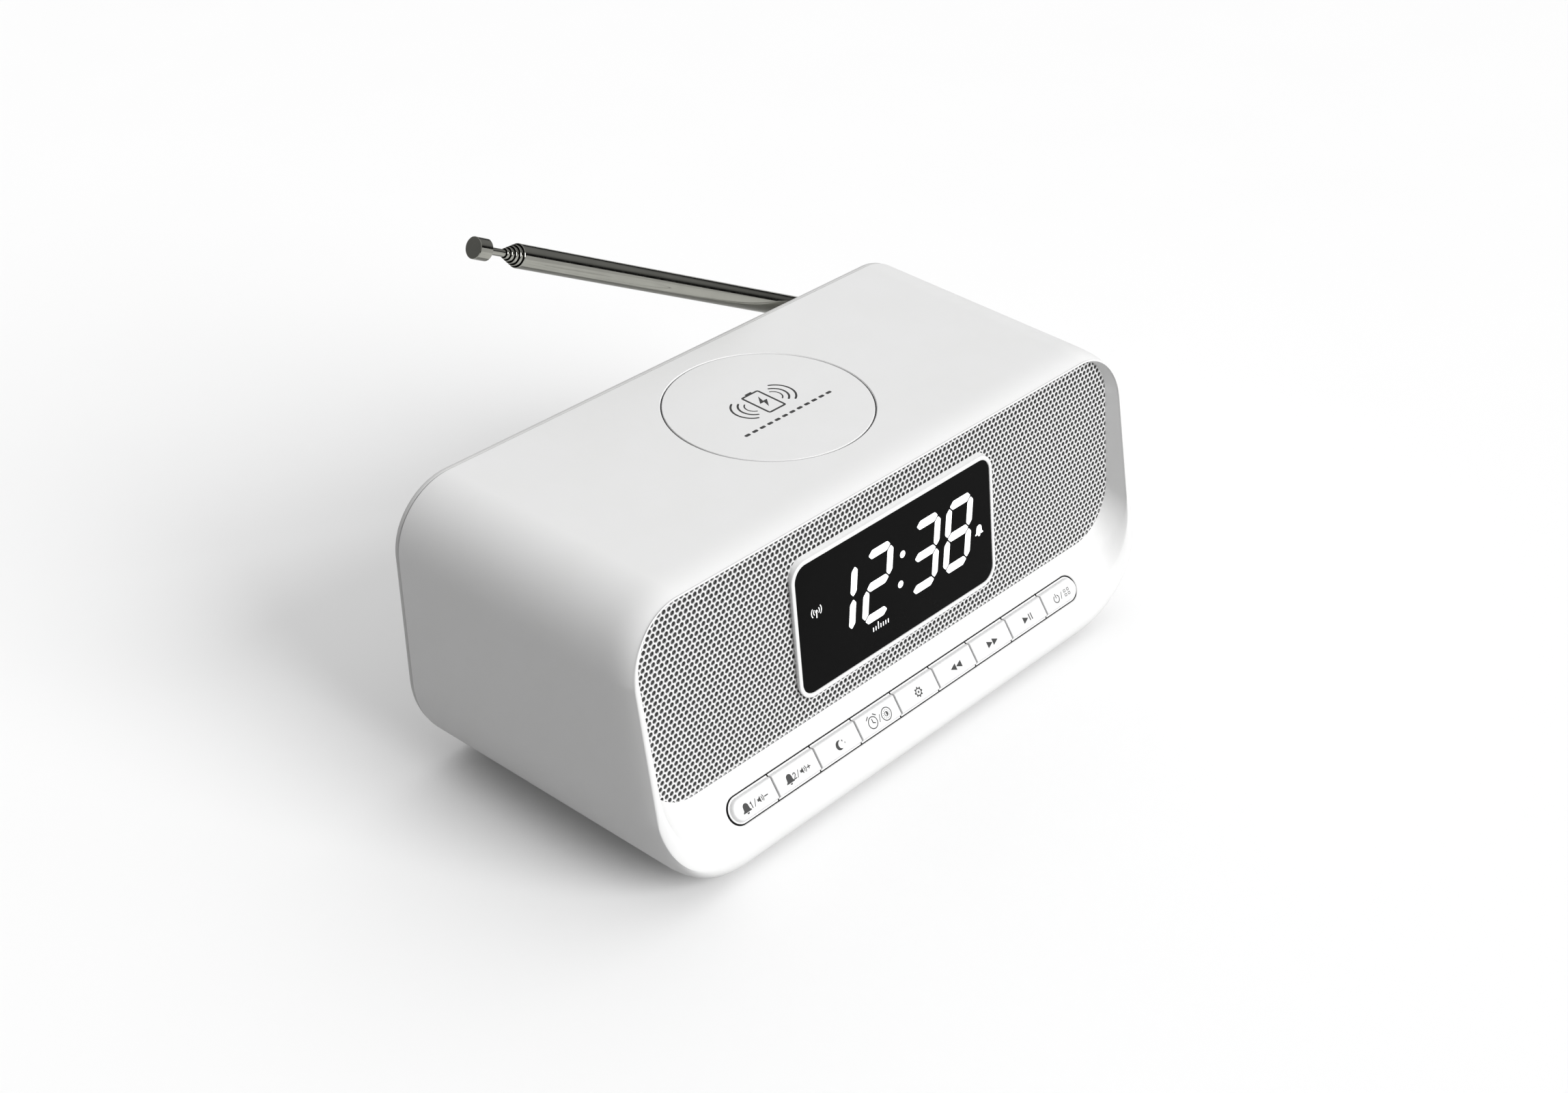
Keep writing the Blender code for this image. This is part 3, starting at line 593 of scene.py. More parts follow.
def front_point(corner, side, chin):
    """A point of the front surface, blended round the lower corners from the side wall to the chin."""
    side_share, side_inset, side_back = side
    chin_z, chin_y = chin
    share_of_chin = chin_share(corner)
    border = outline_point(corner, GRILLE_HALF_WIDTH, GRILLE_LOW, GRILLE_HIGH, GRILLE_LOW_RADIUS,
                           GRILLE_HIGH_RADIUS)
    inner = FRONT @ Vector((*border, -GRILLE_DEPTH))
    chin_low = FRONT @ Vector((0, GRILLE_LOW, -GRILLE_DEPTH))
    chin_out = 1 - chin_z / chin_low.z
    y = chin_y
    for _ in range(3):
        outer = housing_point(corner, y, 0)
        reach = (outer - Vector((inner.x, inner.z))).length
        side_out = side_share - side_inset / max(reach, LEAST_REACH)
        out = side_out + (chin_out - side_out) * share_of_chin
        x = inner.x + (outer.x - inner.x) * out
        z = inner.z + (outer.y - inner.z) * out
        side_y = rim_y(z) + side_back
        y = side_y + (chin_y - side_y) * share_of_chin
    return Vector((x, y, z))


FRONT_STEPS = [i / 6 for i in range(18)] + [3 + i / 5 for i in range(16)]
# The inside of the front, from the back forwards: distance back from the rim, and the chin's (z, y).
INNER_SIDE = mm((21, 18, 15, 12.5, 11.2))
INNER_CHIN = mm(((2.3, -41.5), (4.0, -45.0), (11.6, -43.2), (17.0, -39.0), (21.4, -34.8)))
# (inset, distance from the edge) of the rings that round an edge over.
SHELL_EDGE = mm(((0, 0.5), (0.06, 0.25), (0.2, 0.08), (0.45, 0)))
COVER_EDGE = mm(((0.3, 1.3), (0.3, 0.7), (0.45, 0.3), (0.75, 0.08), (1.2, 0)))
HAIR = 0.02 * MM
LIP = 0.2 * MM
CLEAR = 4 * MM
COVER_INSIDE = 47.2 * MM
LIP_FRONT = 43 * MM


def shell():
    """The white housing, with the grille's groove, the key slot, the pad's recess and the feet's pockets."""
    rings = [grille_ring(GRILLE_DEPTH - HAIR, 0)]
    rings += [[front_point(corner, side_at(step), chin_at(step)) for corner in CORNERS]
              for step in FRONT_STEPS]
    rings += [housing_ring(SHELL_BACK - back, inset) for inset, back in SHELL_EDGE]
    rings.append(housing_ring(SHELL_BACK, WALL))
    for back, chin in zip(INNER_SIDE, INNER_CHIN):
        rings.append([front_point(corner, (1, WALL, back), chin) for corner in CORNERS])
    ledge_back = LEDGE_DEPTH + LEDGE_THICKNESS
    groove_back = GRILLE_DEPTH + GRILLE_THICKNESS + 0.1 * MM
    rings += [grille_ring(*place) for place in (
        (ledge_back, 0), (ledge_back, LEDGE_WIDTH), (LEDGE_DEPTH, LEDGE_WIDTH), (LEDGE_DEPTH, 0),
        (groove_back, 0), (groove_back, -GROOVE), (GRILLE_DEPTH - HAIR, -GROOVE))]
    piece = add_piece("shell", loft(rings, closed=True), white, "root")
    narrow, wide = slot_outline(0), slot_outline(LIP)
    slot = stacked((narrow, -SLOT_DEPTH), (narrow, -LIP), (wide, 0), (wide, CLEAR))
    cut(piece, loft(slot, capped=True), KEYS)
    recess = PAD_RADIUS + PAD_GROOVE
    depth = PAD_THICKNESS + PAD_FLOOR_GAP
    cut(piece, turned(((0, -depth), (recess, -depth), (recess, -LIP), (recess + LIP, 0),
                       (recess + LIP, CLEAR), (0, CLEAR)), PAD_SIDES), PAD)
    for name in FEET:
        cut(piece, drum(FOOT_POCKET_RADIUS, -2 * MM, FOOT_POCKET_DEPTH, 64), under(name))
    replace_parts(piece, "front_shell")


def slot_outline(grow):
    """The key slot's stadium outline."""
    half_length = KEY_PITCH * len(KEY_NAMES) / 2 + KEY_GAP
    radius = KEY_HEIGHT / 2 + KEY_GAP
    centre = half_length - radius
    return arc(centre, 0, radius + grow, -90, 90, 24) + arc(-centre, 0, radius + grow, 90, 270, 24)


FEET = [node for node in frame["nodes"] if node.startswith("foot_")]
SCREWS = [node for node in frame["nodes"] if node.startswith("screw_")]
SOCKETS = ("dc_jack", "usb_port", "aux_jack")
FACE_BACK = turn(-90, "X")
SCREW_SINK = mm(((0, -1.0), (3.2, -1.0), (3.2, -0.2), (3.5, 0), (3.5, 2), (0, 2)))
SOCKET_CLEARANCE = 0.25 * MM
SOCKET_FLARE = 1 * MM


def under(name):
    """The frame on the housing's underside below a foot."""
    place = middle(name)
    return Matrix.Translation((place.x, place.y, 0))


def at_back(name, y):
    """The frame that faces backwards at the middle of a node, at a given depth."""
    place = middle(name)
    return Matrix.Translation((place.x, y, place.z)) @ FACE_BACK


def cover():
    """The rear cover, with a rounded rim, sunk screws and openings for the sockets and the swivel."""
    lip = WALL + 0.4 * MM
    inner = lip + 1.7 * MM
    flange_front = SHELL_BACK + 0.25 * MM
    rings = [housing_ring(*place) for place in (
        (COVER_INSIDE, inner), (LIP_FRONT, inner), (LIP_FRONT, lip), (flange_front, lip),
        (flange_front, 0.45 * MM))]
    rings += [housing_ring(COVER_BACK - back, inset) for inset, back in COVER_EDGE]
    piece = add_piece("cover", loft(rings, capped=True), cover_grey, "root")
    for name in SCREWS:
        cut(piece, turned(SCREW_SINK), at_back(name, COVER_BACK))
    swivel = Vector((middle("antenna_swivel").x, COVER_BACK, middle("antenna_pin").z))
    cut(piece, drum(3.4 * MM, -CLEAR, CLEAR), Matrix.Translation(swivel) @ FACE_BACK)
    for name in SOCKETS:
        low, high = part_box(name)
        width = high.x - low.x + 2 * SOCKET_CLEARANCE
        height = high.z - low.z + 2 * SOCKET_CLEARANCE
        opening = softened(box_outline(width, height), 0.6 * MM)
        flared = softened(box_outline(width + SOCKET_FLARE, height + SOCKET_FLARE), 0.9 * MM)
        levels = (opening, -CLEAR), (opening, -0.5 * MM), (flared, 0), (flared, 2 * MM)
        cut(piece, loft(stacked(*levels), capped=True), at_back(name, COVER_BACK))
    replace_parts(piece, "rear_cover")


def slot_shade_sleeve():
    """A dark sleeve in the key slot: painted shade that darkens the slot's gaps."""
    outer, inner = slot_outline(-HAIR), slot_outline(-0.1 * MM)
    bm = hoop(outer, inner, -4.5 * MM, -0.24 * MM, bmesh.new())
    add_piece("slot_shade_sleeve", bm, dark, "root", KEYS)


# Front: grille, display and keys.
HOLE_SIDES = 12
OPENING_GAP = 0.7 * MM
OPENING_CHAMFER = 2.6 * MM
MICRONS_PER_METRE = 1e6


def grille():
    """A sheet of hexagonal cells with round holes, trimmed to its groove and opened behind the bezel."""
    row_pitch = HOLE_PITCH * math.sqrt(3) / 2
    cell_radius = HOLE_PITCH / math.sqrt(3)
    spokes = [(math.cos(math.radians(30 * k)), math.sin(math.radians(30 * k))) for k in range(HOLE_SIDES)]
    reach = [cell_radius if k % 2 else HOLE_PITCH / 2 for k in range(HOLE_SIDES)]
    border = outward_sides(grille_outline(0.2 * MM - GROOVE))
    opening = outward_sides(chamfered(WINDOW_HALF_WIDTH + OPENING_GAP, WINDOW_HALF_HEIGHT + OPENING_GAP,
                                      OPENING_CHAMFER))
    bm = bmesh.new()
    shared = {}
    edge_faces, opening_faces = [], []

    def corner(x, y):
        key = (round(x * MICRONS_PER_METRE), round(y * MICRONS_PER_METRE))
        if key not in shared:
            shared[key] = bm.verts.new((x, y, 0))
        return shared[key]

    rows = int(GRILLE_HALF_WIDTH / row_pitch)
    columns = int(GRILLE_HALF_WIDTH / HOLE_PITCH) + 2
    for row in range(-rows, rows + 1):
        for column in range(-columns, columns + 1):
            x, y = (column + (row % 2) / 2) * HOLE_PITCH, row * row_pitch
            beyond_edge = beyond(border, x, y)
            beyond_opening = beyond(opening, x, y)
            if beyond_edge > cell_radius or beyond_opening < -cell_radius:
                continue
            outer = [corner(x + r * c, y + r * s) for r, (c, s) in zip(reach, spokes)]
            inner = [bm.verts.new((x + HOLE_RADIUS * c, y + HOLE_RADIUS * s, 0)) for c, s in spokes]
            faces = [bm.faces.new((outer[k], outer[k + 1 - HOLE_SIDES], inner[k + 1 - HOLE_SIDES], inner[k]))
                     for k in range(HOLE_SIDES)]
            if beyond_edge > -cell_radius:
                edge_faces += faces
            if beyond_opening < cell_radius:
                opening_faces += faces
    split(bm, edge_faces, border, clear_outer=True)
    opening_faces = split(bm, opening_faces, opening, clear_outer=False)
    inside = [f for f in opening_faces if beyond(opening, *f.calc_center_median().xy) < 0]
    bmesh.ops.delete(bm, geom=inside, context="FACES")
    back = bmesh.ops.extrude_face_region(bm, geom=bm.faces[:])
    moved = [part for part in back["geom"] if isinstance(part, bmesh.types.BMVert)]
    bmesh.ops.translate(bm, verts=moved, vec=(0, 0, -GRILLE_THICKNESS))
    bm.transform(Matrix.Translation((0, 0, -GRILLE_DEPTH)))
    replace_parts(add_piece("grille", bm, grille_white, "root", FRONT), "speaker_grille")


def grille_cloth():
    """The gray cloth that shows through the grille's holes."""
    front = GRILLE_DEPTH + GRILLE_THICKNESS + 0.3 * MM
    back = front + 0.15 * MM
    outline = grille_outline(0.05 * MM)
    outer = [[(p.x, p.y, -depth) for p in outline] for depth in (front, back)]
    rings = [*outer, bezel_ring(OPENING_GAP, back), bezel_ring(OPENING_GAP, front)]
    add_piece("grille_cloth", loft(rings, closed=True), baffle_grey, "root", FRONT)


def chamfered(half_width, half_height, chamfer):
    x, y, c = half_width, half_height, chamfer
    return [(x - c, -y), (x, -y + c), (x, y - c), (x - c, y),
            (-x + c, y), (-x, y - c), (-x, -y + c), (-x + c, -y)]


def outward_sides(outline):
    """(point, outward direction) of each side of a convex anticlockwise outline."""
    sides = []
    for i, start in enumerate(outline):
        along = Vector(outline[(i + 1) % len(outline)]) - Vector(start)
        if along.length > LEAST_LENGTH:
            sides.append((Vector(start), Vector((along.y, -along.x)).normalized()))
    return sides


def beyond(sides, x, y):
    """How far a point is outside a convex outline, negative inside."""
    return max((x - start.x) * out.x + (y - start.y) * out.y for start, out in sides)


def split(bm, faces, sides, clear_outer):
    """Splits the faces along the outline's sides, and drops what is outside them if asked."""
    geometry = list(dict.fromkeys(part for face in faces for part in (face, *face.edges, *face.verts)))
    for start, out in sides:
        result = bmesh.ops.bisect_plane(bm, geom=geometry, dist=SPLIT_SNAP, plane_co=(*start, 0),
                                        plane_no=(*out, 0), clear_outer=clear_outer)
        geometry = [part for part in result["geom"] if part.is_valid]
    return [part for part in geometry if isinstance(part, bmesh.types.BMFace)]


def bezel_ring(grow, depth, skirt=0.0):
    """The display window's outline, grown all round and raised at the top by the skirt, at a depth."""
    outline = rounded_outline(WINDOW_HALF_WIDTH + grow, -WINDOW_HALF_HEIGHT - grow,
                              WINDOW_HALF_HEIGHT + grow + skirt, WINDOW_RADIUS + grow, WINDOW_RADIUS + grow)
    return [(p.x, p.y, -depth) for p in outline]


def bezel():
    """The white frame round the window: its foot lies on the grille and its neck goes through it."""
    foot = GRILLE_DEPTH - HAIR
    neck, inside, floor_reach = 0.45 * MM, 0.06 * MM, -1.2 * MM
    outer_edge, inner_edge = 0.3 * MM, 0.2 * MM
    rings = [bezel_ring(neck, BEZEL_BACK), bezel_ring(neck, foot),
             bezel_ring(BEZEL_WIDTH - 0.5 * MM, foot, BEZEL_SKIRT + 0.5 * MM),
             bezel_ring(BEZEL_WIDTH - 0.12 * MM, 0.6 * MM, 0.3 * MM)]
    rings += [bezel_ring(BEZEL_WIDTH - outer_edge + x, outer_edge - BEZEL_PROUD - y)
              for x, y in arc(0, 0, outer_edge, 0, 90, 4)]
    rings += [bezel_ring(inside + inner_edge - x, inner_edge - BEZEL_PROUD - y)
              for x, y in arc(0, 0, inner_edge, 90, 0, 3)]
    seat = WINDOW_THICKNESS + 0.05 * MM
    rings += [bezel_ring(inside, seat), bezel_ring(floor_reach, seat), bezel_ring(floor_reach, BEZEL_BACK)]
    piece = add_piece("bezel", loft(rings, closed=True), white, "root", FRONT)
    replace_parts(piece, "display_bezel")


def window():
    rings = [bezel_ring(0, WINDOW_THICKNESS), bezel_ring(0, 0.12 * MM), bezel_ring(-0.04 * MM, 0.03 * MM),
             bezel_ring(-0.12 * MM, 0)]
    piece = add_piece("window", loft(rings, capped=True), glass, "root", FRONT)
    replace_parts(piece, "display_window")


# The digits, in millimetres. A bar is its half length and half width.
DIGIT_SLANT = 0.157
DIGIT_MIDDLE = 1.2
DIGIT_RISE = 9.2
DIGIT_REACH = 4.53
LEVEL_BAR = (4.37, 1.28)
UPRIGHT_BAR = (4.2, 1.2)
LIT_DAY = 2
DIGITS = (("bc", -22.6), ("abged", -8.3), ("abgcd", 11.2), ("abcdefg", 25.05))


def slanted(points, x):
    return [(x + px + DIGIT_SLANT * py, DIGIT_MIDDLE + py) for px, py in points]


def segment(letter):
    """A segment's outline about the middle of its digit, before it is slanted."""
    if letter in "agd":
        y = {"a": 1, "g": 0, "d": -1}[letter] * DIGIT_RISE
        length, half = LEVEL_BAR
        return [(-length, y), (-length + half, y - half), (length - half, y - half), (length, y),
                (length - half, y + half), (-length + half, y + half)]
    x = DIGIT_REACH if letter in "bc" else -DIGIT_REACH
    y = DIGIT_RISE / 2 if letter in "bf" else -DIGIT_RISE / 2
    length, half = UPRIGHT_BAR
    return [(x, y - length), (x + half, y - length + half), (x + half, y + length - half),
            (x, y + length), (x - half, y + length - half), (x - half, y - length + half)]


def bell(marks, x, y, size):
    """A bell with a clapper, as wide as size."""
    dome = [(x + px * size, y + py * size) for px, py in arc(0, 0.12, 0.33, 180, 0, 10)]
    skirt_right = [(0.36, -0.18), (0.5, -0.32), (0.5, -0.4)]
    right = [(x + px * size, y + py * size) for px, py in skirt_right]
    left = [(x - px * size, y + py * size) for px, py in reversed(skirt_right)]
    marks.fill(dome + right + left)
    marks.fill(arc(x, y - 0.45 * size, 0.14 * size, 180, 360, 8))


def display_marks():
    """Lit time, bell, a signal sign and a row of weekday bars with one bar lit higher."""
    marks = Marks(-0.03 * MM, HAIR)
    for letters, x in DIGITS:
        for letter in letters:
            marks.fill(softened(slanted(segment(letter), x), 0.35))
    for x, y in ((2.05, 5.1), (0.55, -3.4)):
        marks.fill(circle(x, y, 1.05, 24))
    bell(marks, 33.95, -1.7, 3.4)
    x, y = -32.1, 3.9
    marks.line([(x, y - 1.8), (x, y - 0.1)], 0.35)
    marks.fill(circle(x, y, 0.42, 16))
    for radius in (1.1, 1.9):
        for start in (-38, 142):
            marks.line(arc(x, y, radius, start, start + 76, 8), 0.24)
    for day in range(7):
        x = -11.2 + day
        marks.line([(x, -12.3), (x, -10.3 if day == LIT_DAY else -11.3)], 0.34)
    add_piece("display_marks", marks.bm, lit, "root", FRONT)


CAP_GAP = 0.24 * MM
CAP_TRIM = 0.04 * MM


def cap_ring(index, inset, height, side_in):
    """One ring of a key cap: round at the row's ends and straight where it meets its neighbour."""
    half_width = KEY_PITCH / 2 - CAP_GAP
    radius = KEY_HEIGHT / 2 - CAP_TRIM - inset
    centre = half_width - KEY_HEIGHT / 2
    x = half_width - side_in
    points = [(x, -radius), (x, radius)]
    if index == len(KEY_NAMES) - 1:
        points = arc(centre, 0, radius, -90, 90, 24)
    points += arc(-centre, 0, radius, 90, 270, 24) if index == 0 else [(-x, radius), (-x, -radius)]
    return [(x, y, height) for x, y in points]


# (inset, height above the face, further inset beside a neighbour) of a cap's rings and of the dark skirt's, a
# sleeve of painted shade in the gaps round the cap.
CAP_PROFILE = (*mm(((0.02, -1, 0.02), (0, -0.14, 0), (0.07, -0.03, 0), (0.38, -0.01, 0), (0.44, 0.08, 0),
                    (0.5, 0.3, 0), (0.7, 0.8, 0), (0.82, 1.02, 0.04), (0.95, 1.14, 0.1))),
               (1.15 * MM, KEY_PROUD, 0.2 * MM))
CAP_SHADE_PROFILE = ((0, -KEY_SUNK, 0), (0, -0.16 * MM, 0), (0.4 * MM, -0.16 * MM, 0.4 * MM),
                 (0.4 * MM, -KEY_SUNK, 0.4 * MM))
ICON_SHIFT = 0.3 * MM
ICON_Y = -0.35 * MM


def key_caps():
    last = len(KEY_NAMES) - 1
    for index, name in enumerate(KEY_NAMES):
        key = "key_" + name
        place = KEYS @ Matrix.Translation(((index - last / 2) * KEY_PITCH, 0, 0))
        rings = [cap_ring(index, *ring) for ring in CAP_PROFILE]
        cap = add_piece("cap_" + name, loft(rings, capped=True), key_white, key, place)
        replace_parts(cap, key)
        # A dark skirt round each cap: painted shade that darkens the gaps between the caps and in the slot.
        skirt = [cap_ring(index, *ring) for ring in CAP_SHADE_PROFILE]
        add_piece("cap_shade_" + name, loft(skirt, closed=True), dark, key, place)
        marks = Marks(KEY_PROUD - 0.03 * MM, KEY_PROUD + 0.015 * MM)
        ICONS[name](marks)
        add_piece("icon_" + name, marks.bm, print_grey, key,
                  place @ Matrix.Translation((ICON_SHIFT, ICON_Y, 0)))


# Icons, in millimetres about the cap's middle.

def slash(marks, x):
    marks.line([(x - 0.35, -0.9), (x + 0.35, 0.9)], 0.22)


def loudspeaker(marks, x):
    body = [(-0.9, -0.35), (-0.4, -0.35), (0.2, -0.9), (0.2, 0.9), (-0.4, 0.35), (-0.9, 0.35)]
    marks.fill([(x + px, py) for px, py in body])
    for radius in (0.75, 1.25):
        marks.line(arc(x, 0, radius, -38, 38, 8), 0.25)


def alarm_icon(number):
    """A bell with its number, and volume down or up."""
    def draw(marks):
        bell(marks, -3.3, 0.1, 2.9)
        if number == 1:
            marks.line([(-1.65, 0.5), (-1.35, 0.8), (-1.35, -0.8)], 0.3)
        else:
            marks.line([*arc(-1.4, 0.4, 0.4, 160, -40, 8), (-1.8, -0.75), (-0.95, -0.75)], 0.28)
        slash(marks, -0.1)
        loudspeaker(marks, 1.7)
        marks.line([(3.4, 0), (4.5, 0)], 0.3)
        if number == 2:
            for side in (-1, 1):
                marks.line([(3.95, side * 0.17), (3.95, side * 0.55)], 0.3, False)
    return draw


def sleep_icon(marks):
    """A crescent moon and two small stars."""
    marks.fill(arc(0, 0, 1.35, 60, 300, 24) + arc(0.75, 0, 1.1, 270, 95, 18))
    for x, y, size in ((1.3, 0.75, 0.42), (2.0, -0.1, 0.3)):
        tips, notches = circle(x, y, size, 4), arc(x, y, size * 0.35, 45, 405, 4)
        marks.fill([point for pair in zip(tips, notches) for point in pair])


def snooze_icon(marks):
    """An alarm clock, and a dimmer: a half-filled disc in a dotted ring."""
    x = -2.7
    marks.ring(x, 0, 1.62, 0.28, 40)
    marks.line([(x, 0.95), (x, 0), (x + 0.75, -0.35)], 0.3)
    for side in (-1, 1):
        marks.line([(x + side, 2.1), (x + side * 1.85, 1.45)], 0.3)
    slash(marks, 0)
    x = 2.7
    marks.ring(x, 0, 1.78, 0.26, 40)
    for dot in circle(x, 0, 1.15, 12):
        marks.fill(circle(*dot, 0.12, 8))
    marks.ring(x, 0, 0.6, 0.2, 24)
    marks.fill(arc(x, 0, 0.5, -90, 90, 12))


def set_icon(marks):
    """A gear."""
    steps = 8 * 4
    outer, inner = [], []
    for k in range(steps):
        radius = 1.5 if k % 4 in (0, 1) else 1.12
        angle = 2 * math.pi * (k - 0.5) / steps
        outer.append((radius * math.cos(angle), radius * math.sin(angle)))
        inner.append((0.82 * math.cos(angle), 0.82 * math.sin(angle)))
    marks.frame(outer, inner)
    marks.fill(circle(0, 0, 0.32, 16))


def triangle(marks, x, direction):
    """A triangle 2.2 mm long whose point is on the side of direction."""
    reach = direction * 1.1
    corners = [(x - reach, -1.0), (x + reach, 0), (x - reach, 1.0)]
    marks.fill(softened(corners[::direction], 0.08))


def double_triangle(direction):
    def draw(marks):
        triangle(marks, -1.15, direction)
        triangle(marks, 1.15, direction)
    return draw


def play_icon(marks):
    triangle(marks, -0.9, 1)
    for x in (0.75, 1.65):
        marks.fill(box_outline(0.36, 2.0, x))


def power_icon(marks):
    """A power sign, and four small squares for the choice of source."""
    x = -2.6
    marks.line(arc(x, -0.1, 1.1, 125, 415, 30), 0.28)
    marks.line([(x, 0.15), (x, 1.3)], 0.28)
    slash(marks, -0.3)
    for x in (1.5, 3.0):
        for y in (-0.62, 0.62):
            marks.frame(softened(box_outline(0.95, 0.85, x, y), 0.15),
                        softened(box_outline(0.6, 0.5, x, y), 0.08))


ICONS = {"alarm_1": alarm_icon(1), "alarm_2": alarm_icon(2), "sleep": sleep_icon, "snooze": snooze_icon,
         "set": set_icon, "back": double_triangle(-1), "forward": double_triangle(1), "play": play_icon,
         "power": power_icon}


# Charging pad.

def pad():
    edge = 0.24 * MM
    profile = [(0, -PAD_THICKNESS), (PAD_RADIUS, -PAD_THICKNESS), (PAD_RADIUS, -edge)]
    profile += [(PAD_RADIUS - edge + edge * math.cos(a), -edge + edge * math.sin(a))
                for a in (math.radians(30), math.radians(60), math.radians(90))]
    profile += [(20 * MM, 0), (0, 0)]
    piece = add_piece("pad", turned(profile, PAD_SIDES), white, "root", PAD)
    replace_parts(piece, "charging_pad")


def pad_groove_shade():
    """A dark ring low in the groove round the pad: painted shade that darkens the groove."""
    side = 0.03 * MM
    inner, outer = PAD_RADIUS + side, PAD_RADIUS + PAD_GROOVE - side
    profile = ((inner, -1.25 * MM), (outer, -1.25 * MM), (outer, -0.42 * MM), (inner, -0.42 * MM))
    add_piece("pad_groove_shade", turned(profile, PAD_SIDES, closed=True), dark, "root", PAD)


# The pad's marks, in millimetres.
ICON_CENTRE = (0.5, 2.3)
BOLT = ((0.9, 2.9), (-1.6, -0.3), (-0.1, -0.3), (-0.8, -2.8), (1.7, 0.35), (0.2, 0.35))
DASHES = 12
# Each arc is (centre's distance from the battery's middle, radius, half its angle, width).
WAVES = ((4.74, 5.66, 63, 0.6), (3.9, 4.3, 61, 0.6), (3.73, 2.67, 62, 0.42))


def pad_marks():
    """A battery with a bolt and waves, and a row of short dashes below."""
    marks = Marks(-0.03 * MM, 0.012 * MM)
    x, y = ICON_CENTRE
    marks.frame(softened(box_outline(6.8, 11.1, x, y), 0.75), softened(box_outline(5.5, 9.8, x, y), 0.25))
    marks.fill(box_outline(2.4, 0.55, x, y + 5.8))
    marks.fill([(x + px, y + py) for px, py in BOLT])
    for offset, radius, half_angle, width in WAVES:
        for side, facing in ((1, 0), (-1, 180)):
            wave = arc(x + side * offset, y, radius, facing - half_angle, facing + half_angle, 20)
            marks.line(wave, width)
    for k in range(DASHES):
        centre = x + (k - (DASHES - 1) / 2) * 2.9
        marks.fill(softened(box_outline(1.9, 1.0, centre, -7), 0.35))
    add_piece("pad_marks", marks.bm, pad_print, "root", PAD)


# Feet, screws and sockets. Profiles are (radius, height).
FOOT = mm(((0, 0.5), (6, 0.5), (6, -1.0), (5.85, -1.3), (5.5, -1.5), (4.6, -1.5), (4.4, -1.25), (3.9, -1.25),
           (3.7, -1.5), (0, -1.5)))
SCREW = mm(((0, 0.7), (1.6, 0.66), (2.3, 0.5), (2.7, 0.25), (2.8, 0), (2.8, -0.1), (1.3, -0.1), (1.3, -13),
            (0, -14)))
CROSS = mm((2.8, 0.6))
AUX_RING = mm(((1.72, -6), (1.72, -0.3), (1.85, 0.12), (2.8, 0.15), (3.0, 0.0), (1.79, -0.02), (1.79, -6)))
DC_PIN = mm(((0, -11), (1.05, -11), (1.05, -2.2), (0.8, -1.6), (0, -1.5)))
USB_DEPTH = 9 * MM


def feet():
    for name in FEET:
        piece = add_piece(name.replace("foot", "pad_foot"), turned(FOOT, 64), rubber, "root",
                          under(name))
        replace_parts(piece, name)


def screws():
    """Pan-head screws with a cross recess."""
    for name in SCREWS:
        matrix = at_back(name, COVER_BACK - 0.1 * MM)
        piece = add_piece(name.replace("screw", "fixing"), turned(SCREW), steel, "root", matrix)
        for width, height in (CROSS, CROSS[::-1]):
            low, high = box_outline(width * 0.6, height * 0.6), box_outline(width, height)
            cut(piece, loft(stacked((low, -0.4 * MM), (high, 1 * MM)), capped=True), matrix)
        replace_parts(piece, name)


def socket_details():
    """Metal parts that show in the rear sockets."""
    usb, aux, dc = [at_back(name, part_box(name)[1].y) for name in ("usb_port", "aux_jack", "dc_jack")]
    outer = softened(box_outline(*mm((12.3, 4.9))), 0.5 * MM)
    inner = softened(box_outline(*mm((11.8, 4.4))), 0.4 * MM)
    mouth = 0.1 * MM
    rings = stacked((outer, -USB_DEPTH), (outer, mouth), (inner, mouth), (inner, -USB_DEPTH))
    add_piece("usb_lining", loft(rings, closed=True), steel, "root", usb)
    contacts = bmesh.new()
    for k in range(4):
        outline = softened(box_outline(*mm((1.1, 0.12)), (k - 1.5) * 2.2 * MM, -HAIR), 0.03 * MM)
        join_rings(contacts, stacked((outline, -USB_DEPTH), (outline, -2 * MM)), capped=True)
    add_piece("usb_contacts", contacts, gold, "root", usb)
    add_piece("aux_ring", turned(AUX_RING, closed=True), steel, "root", aux)
    add_piece("dc_pin", turned(DC_PIN, 32), steel, "root", dc)


# Antenna. Profiles are (radius, height).
ALONG_PIN = ANTENNA @ turn(90, "Y")
TUBE_LIP = mm(((0, 0.35), (0.02, 0.18), (0.07, 0.05), (0.13, 0)))
HINGE_RADIUS = 2.9 * MM
HINGE_BORE = 1.3 * MM
PLATE = mm(((0, 0), (5.6, 0), (5.9, 0.1), (6.0, 0.35), (6.0, 1.2), (5.85, 1.42), (5.5, 1.5), (0, 1.5)))
STUD = mm(((0, -5.6), (5.4, -5.6), (5.4, -4.5), (3.0, -4.5), (3.0, 0.2), (0, 0.2)))
HINGE_PIN = mm(((0, -4.2), (0.7, -4.2), (1.0, -3.9), (1.0, 3.9), (0.7, 4.2), (0, 4.2)))
# (distance from the inner face, inset) of an ear's rings.
EAR = ((0, 0.2), (0.2, 0), (1.3, 0), (1.5, 0.2))


def metal_piece(name, bm, body, matrix=ANTENNA):
    return add_piece(name, bm, chrome, body, matrix)


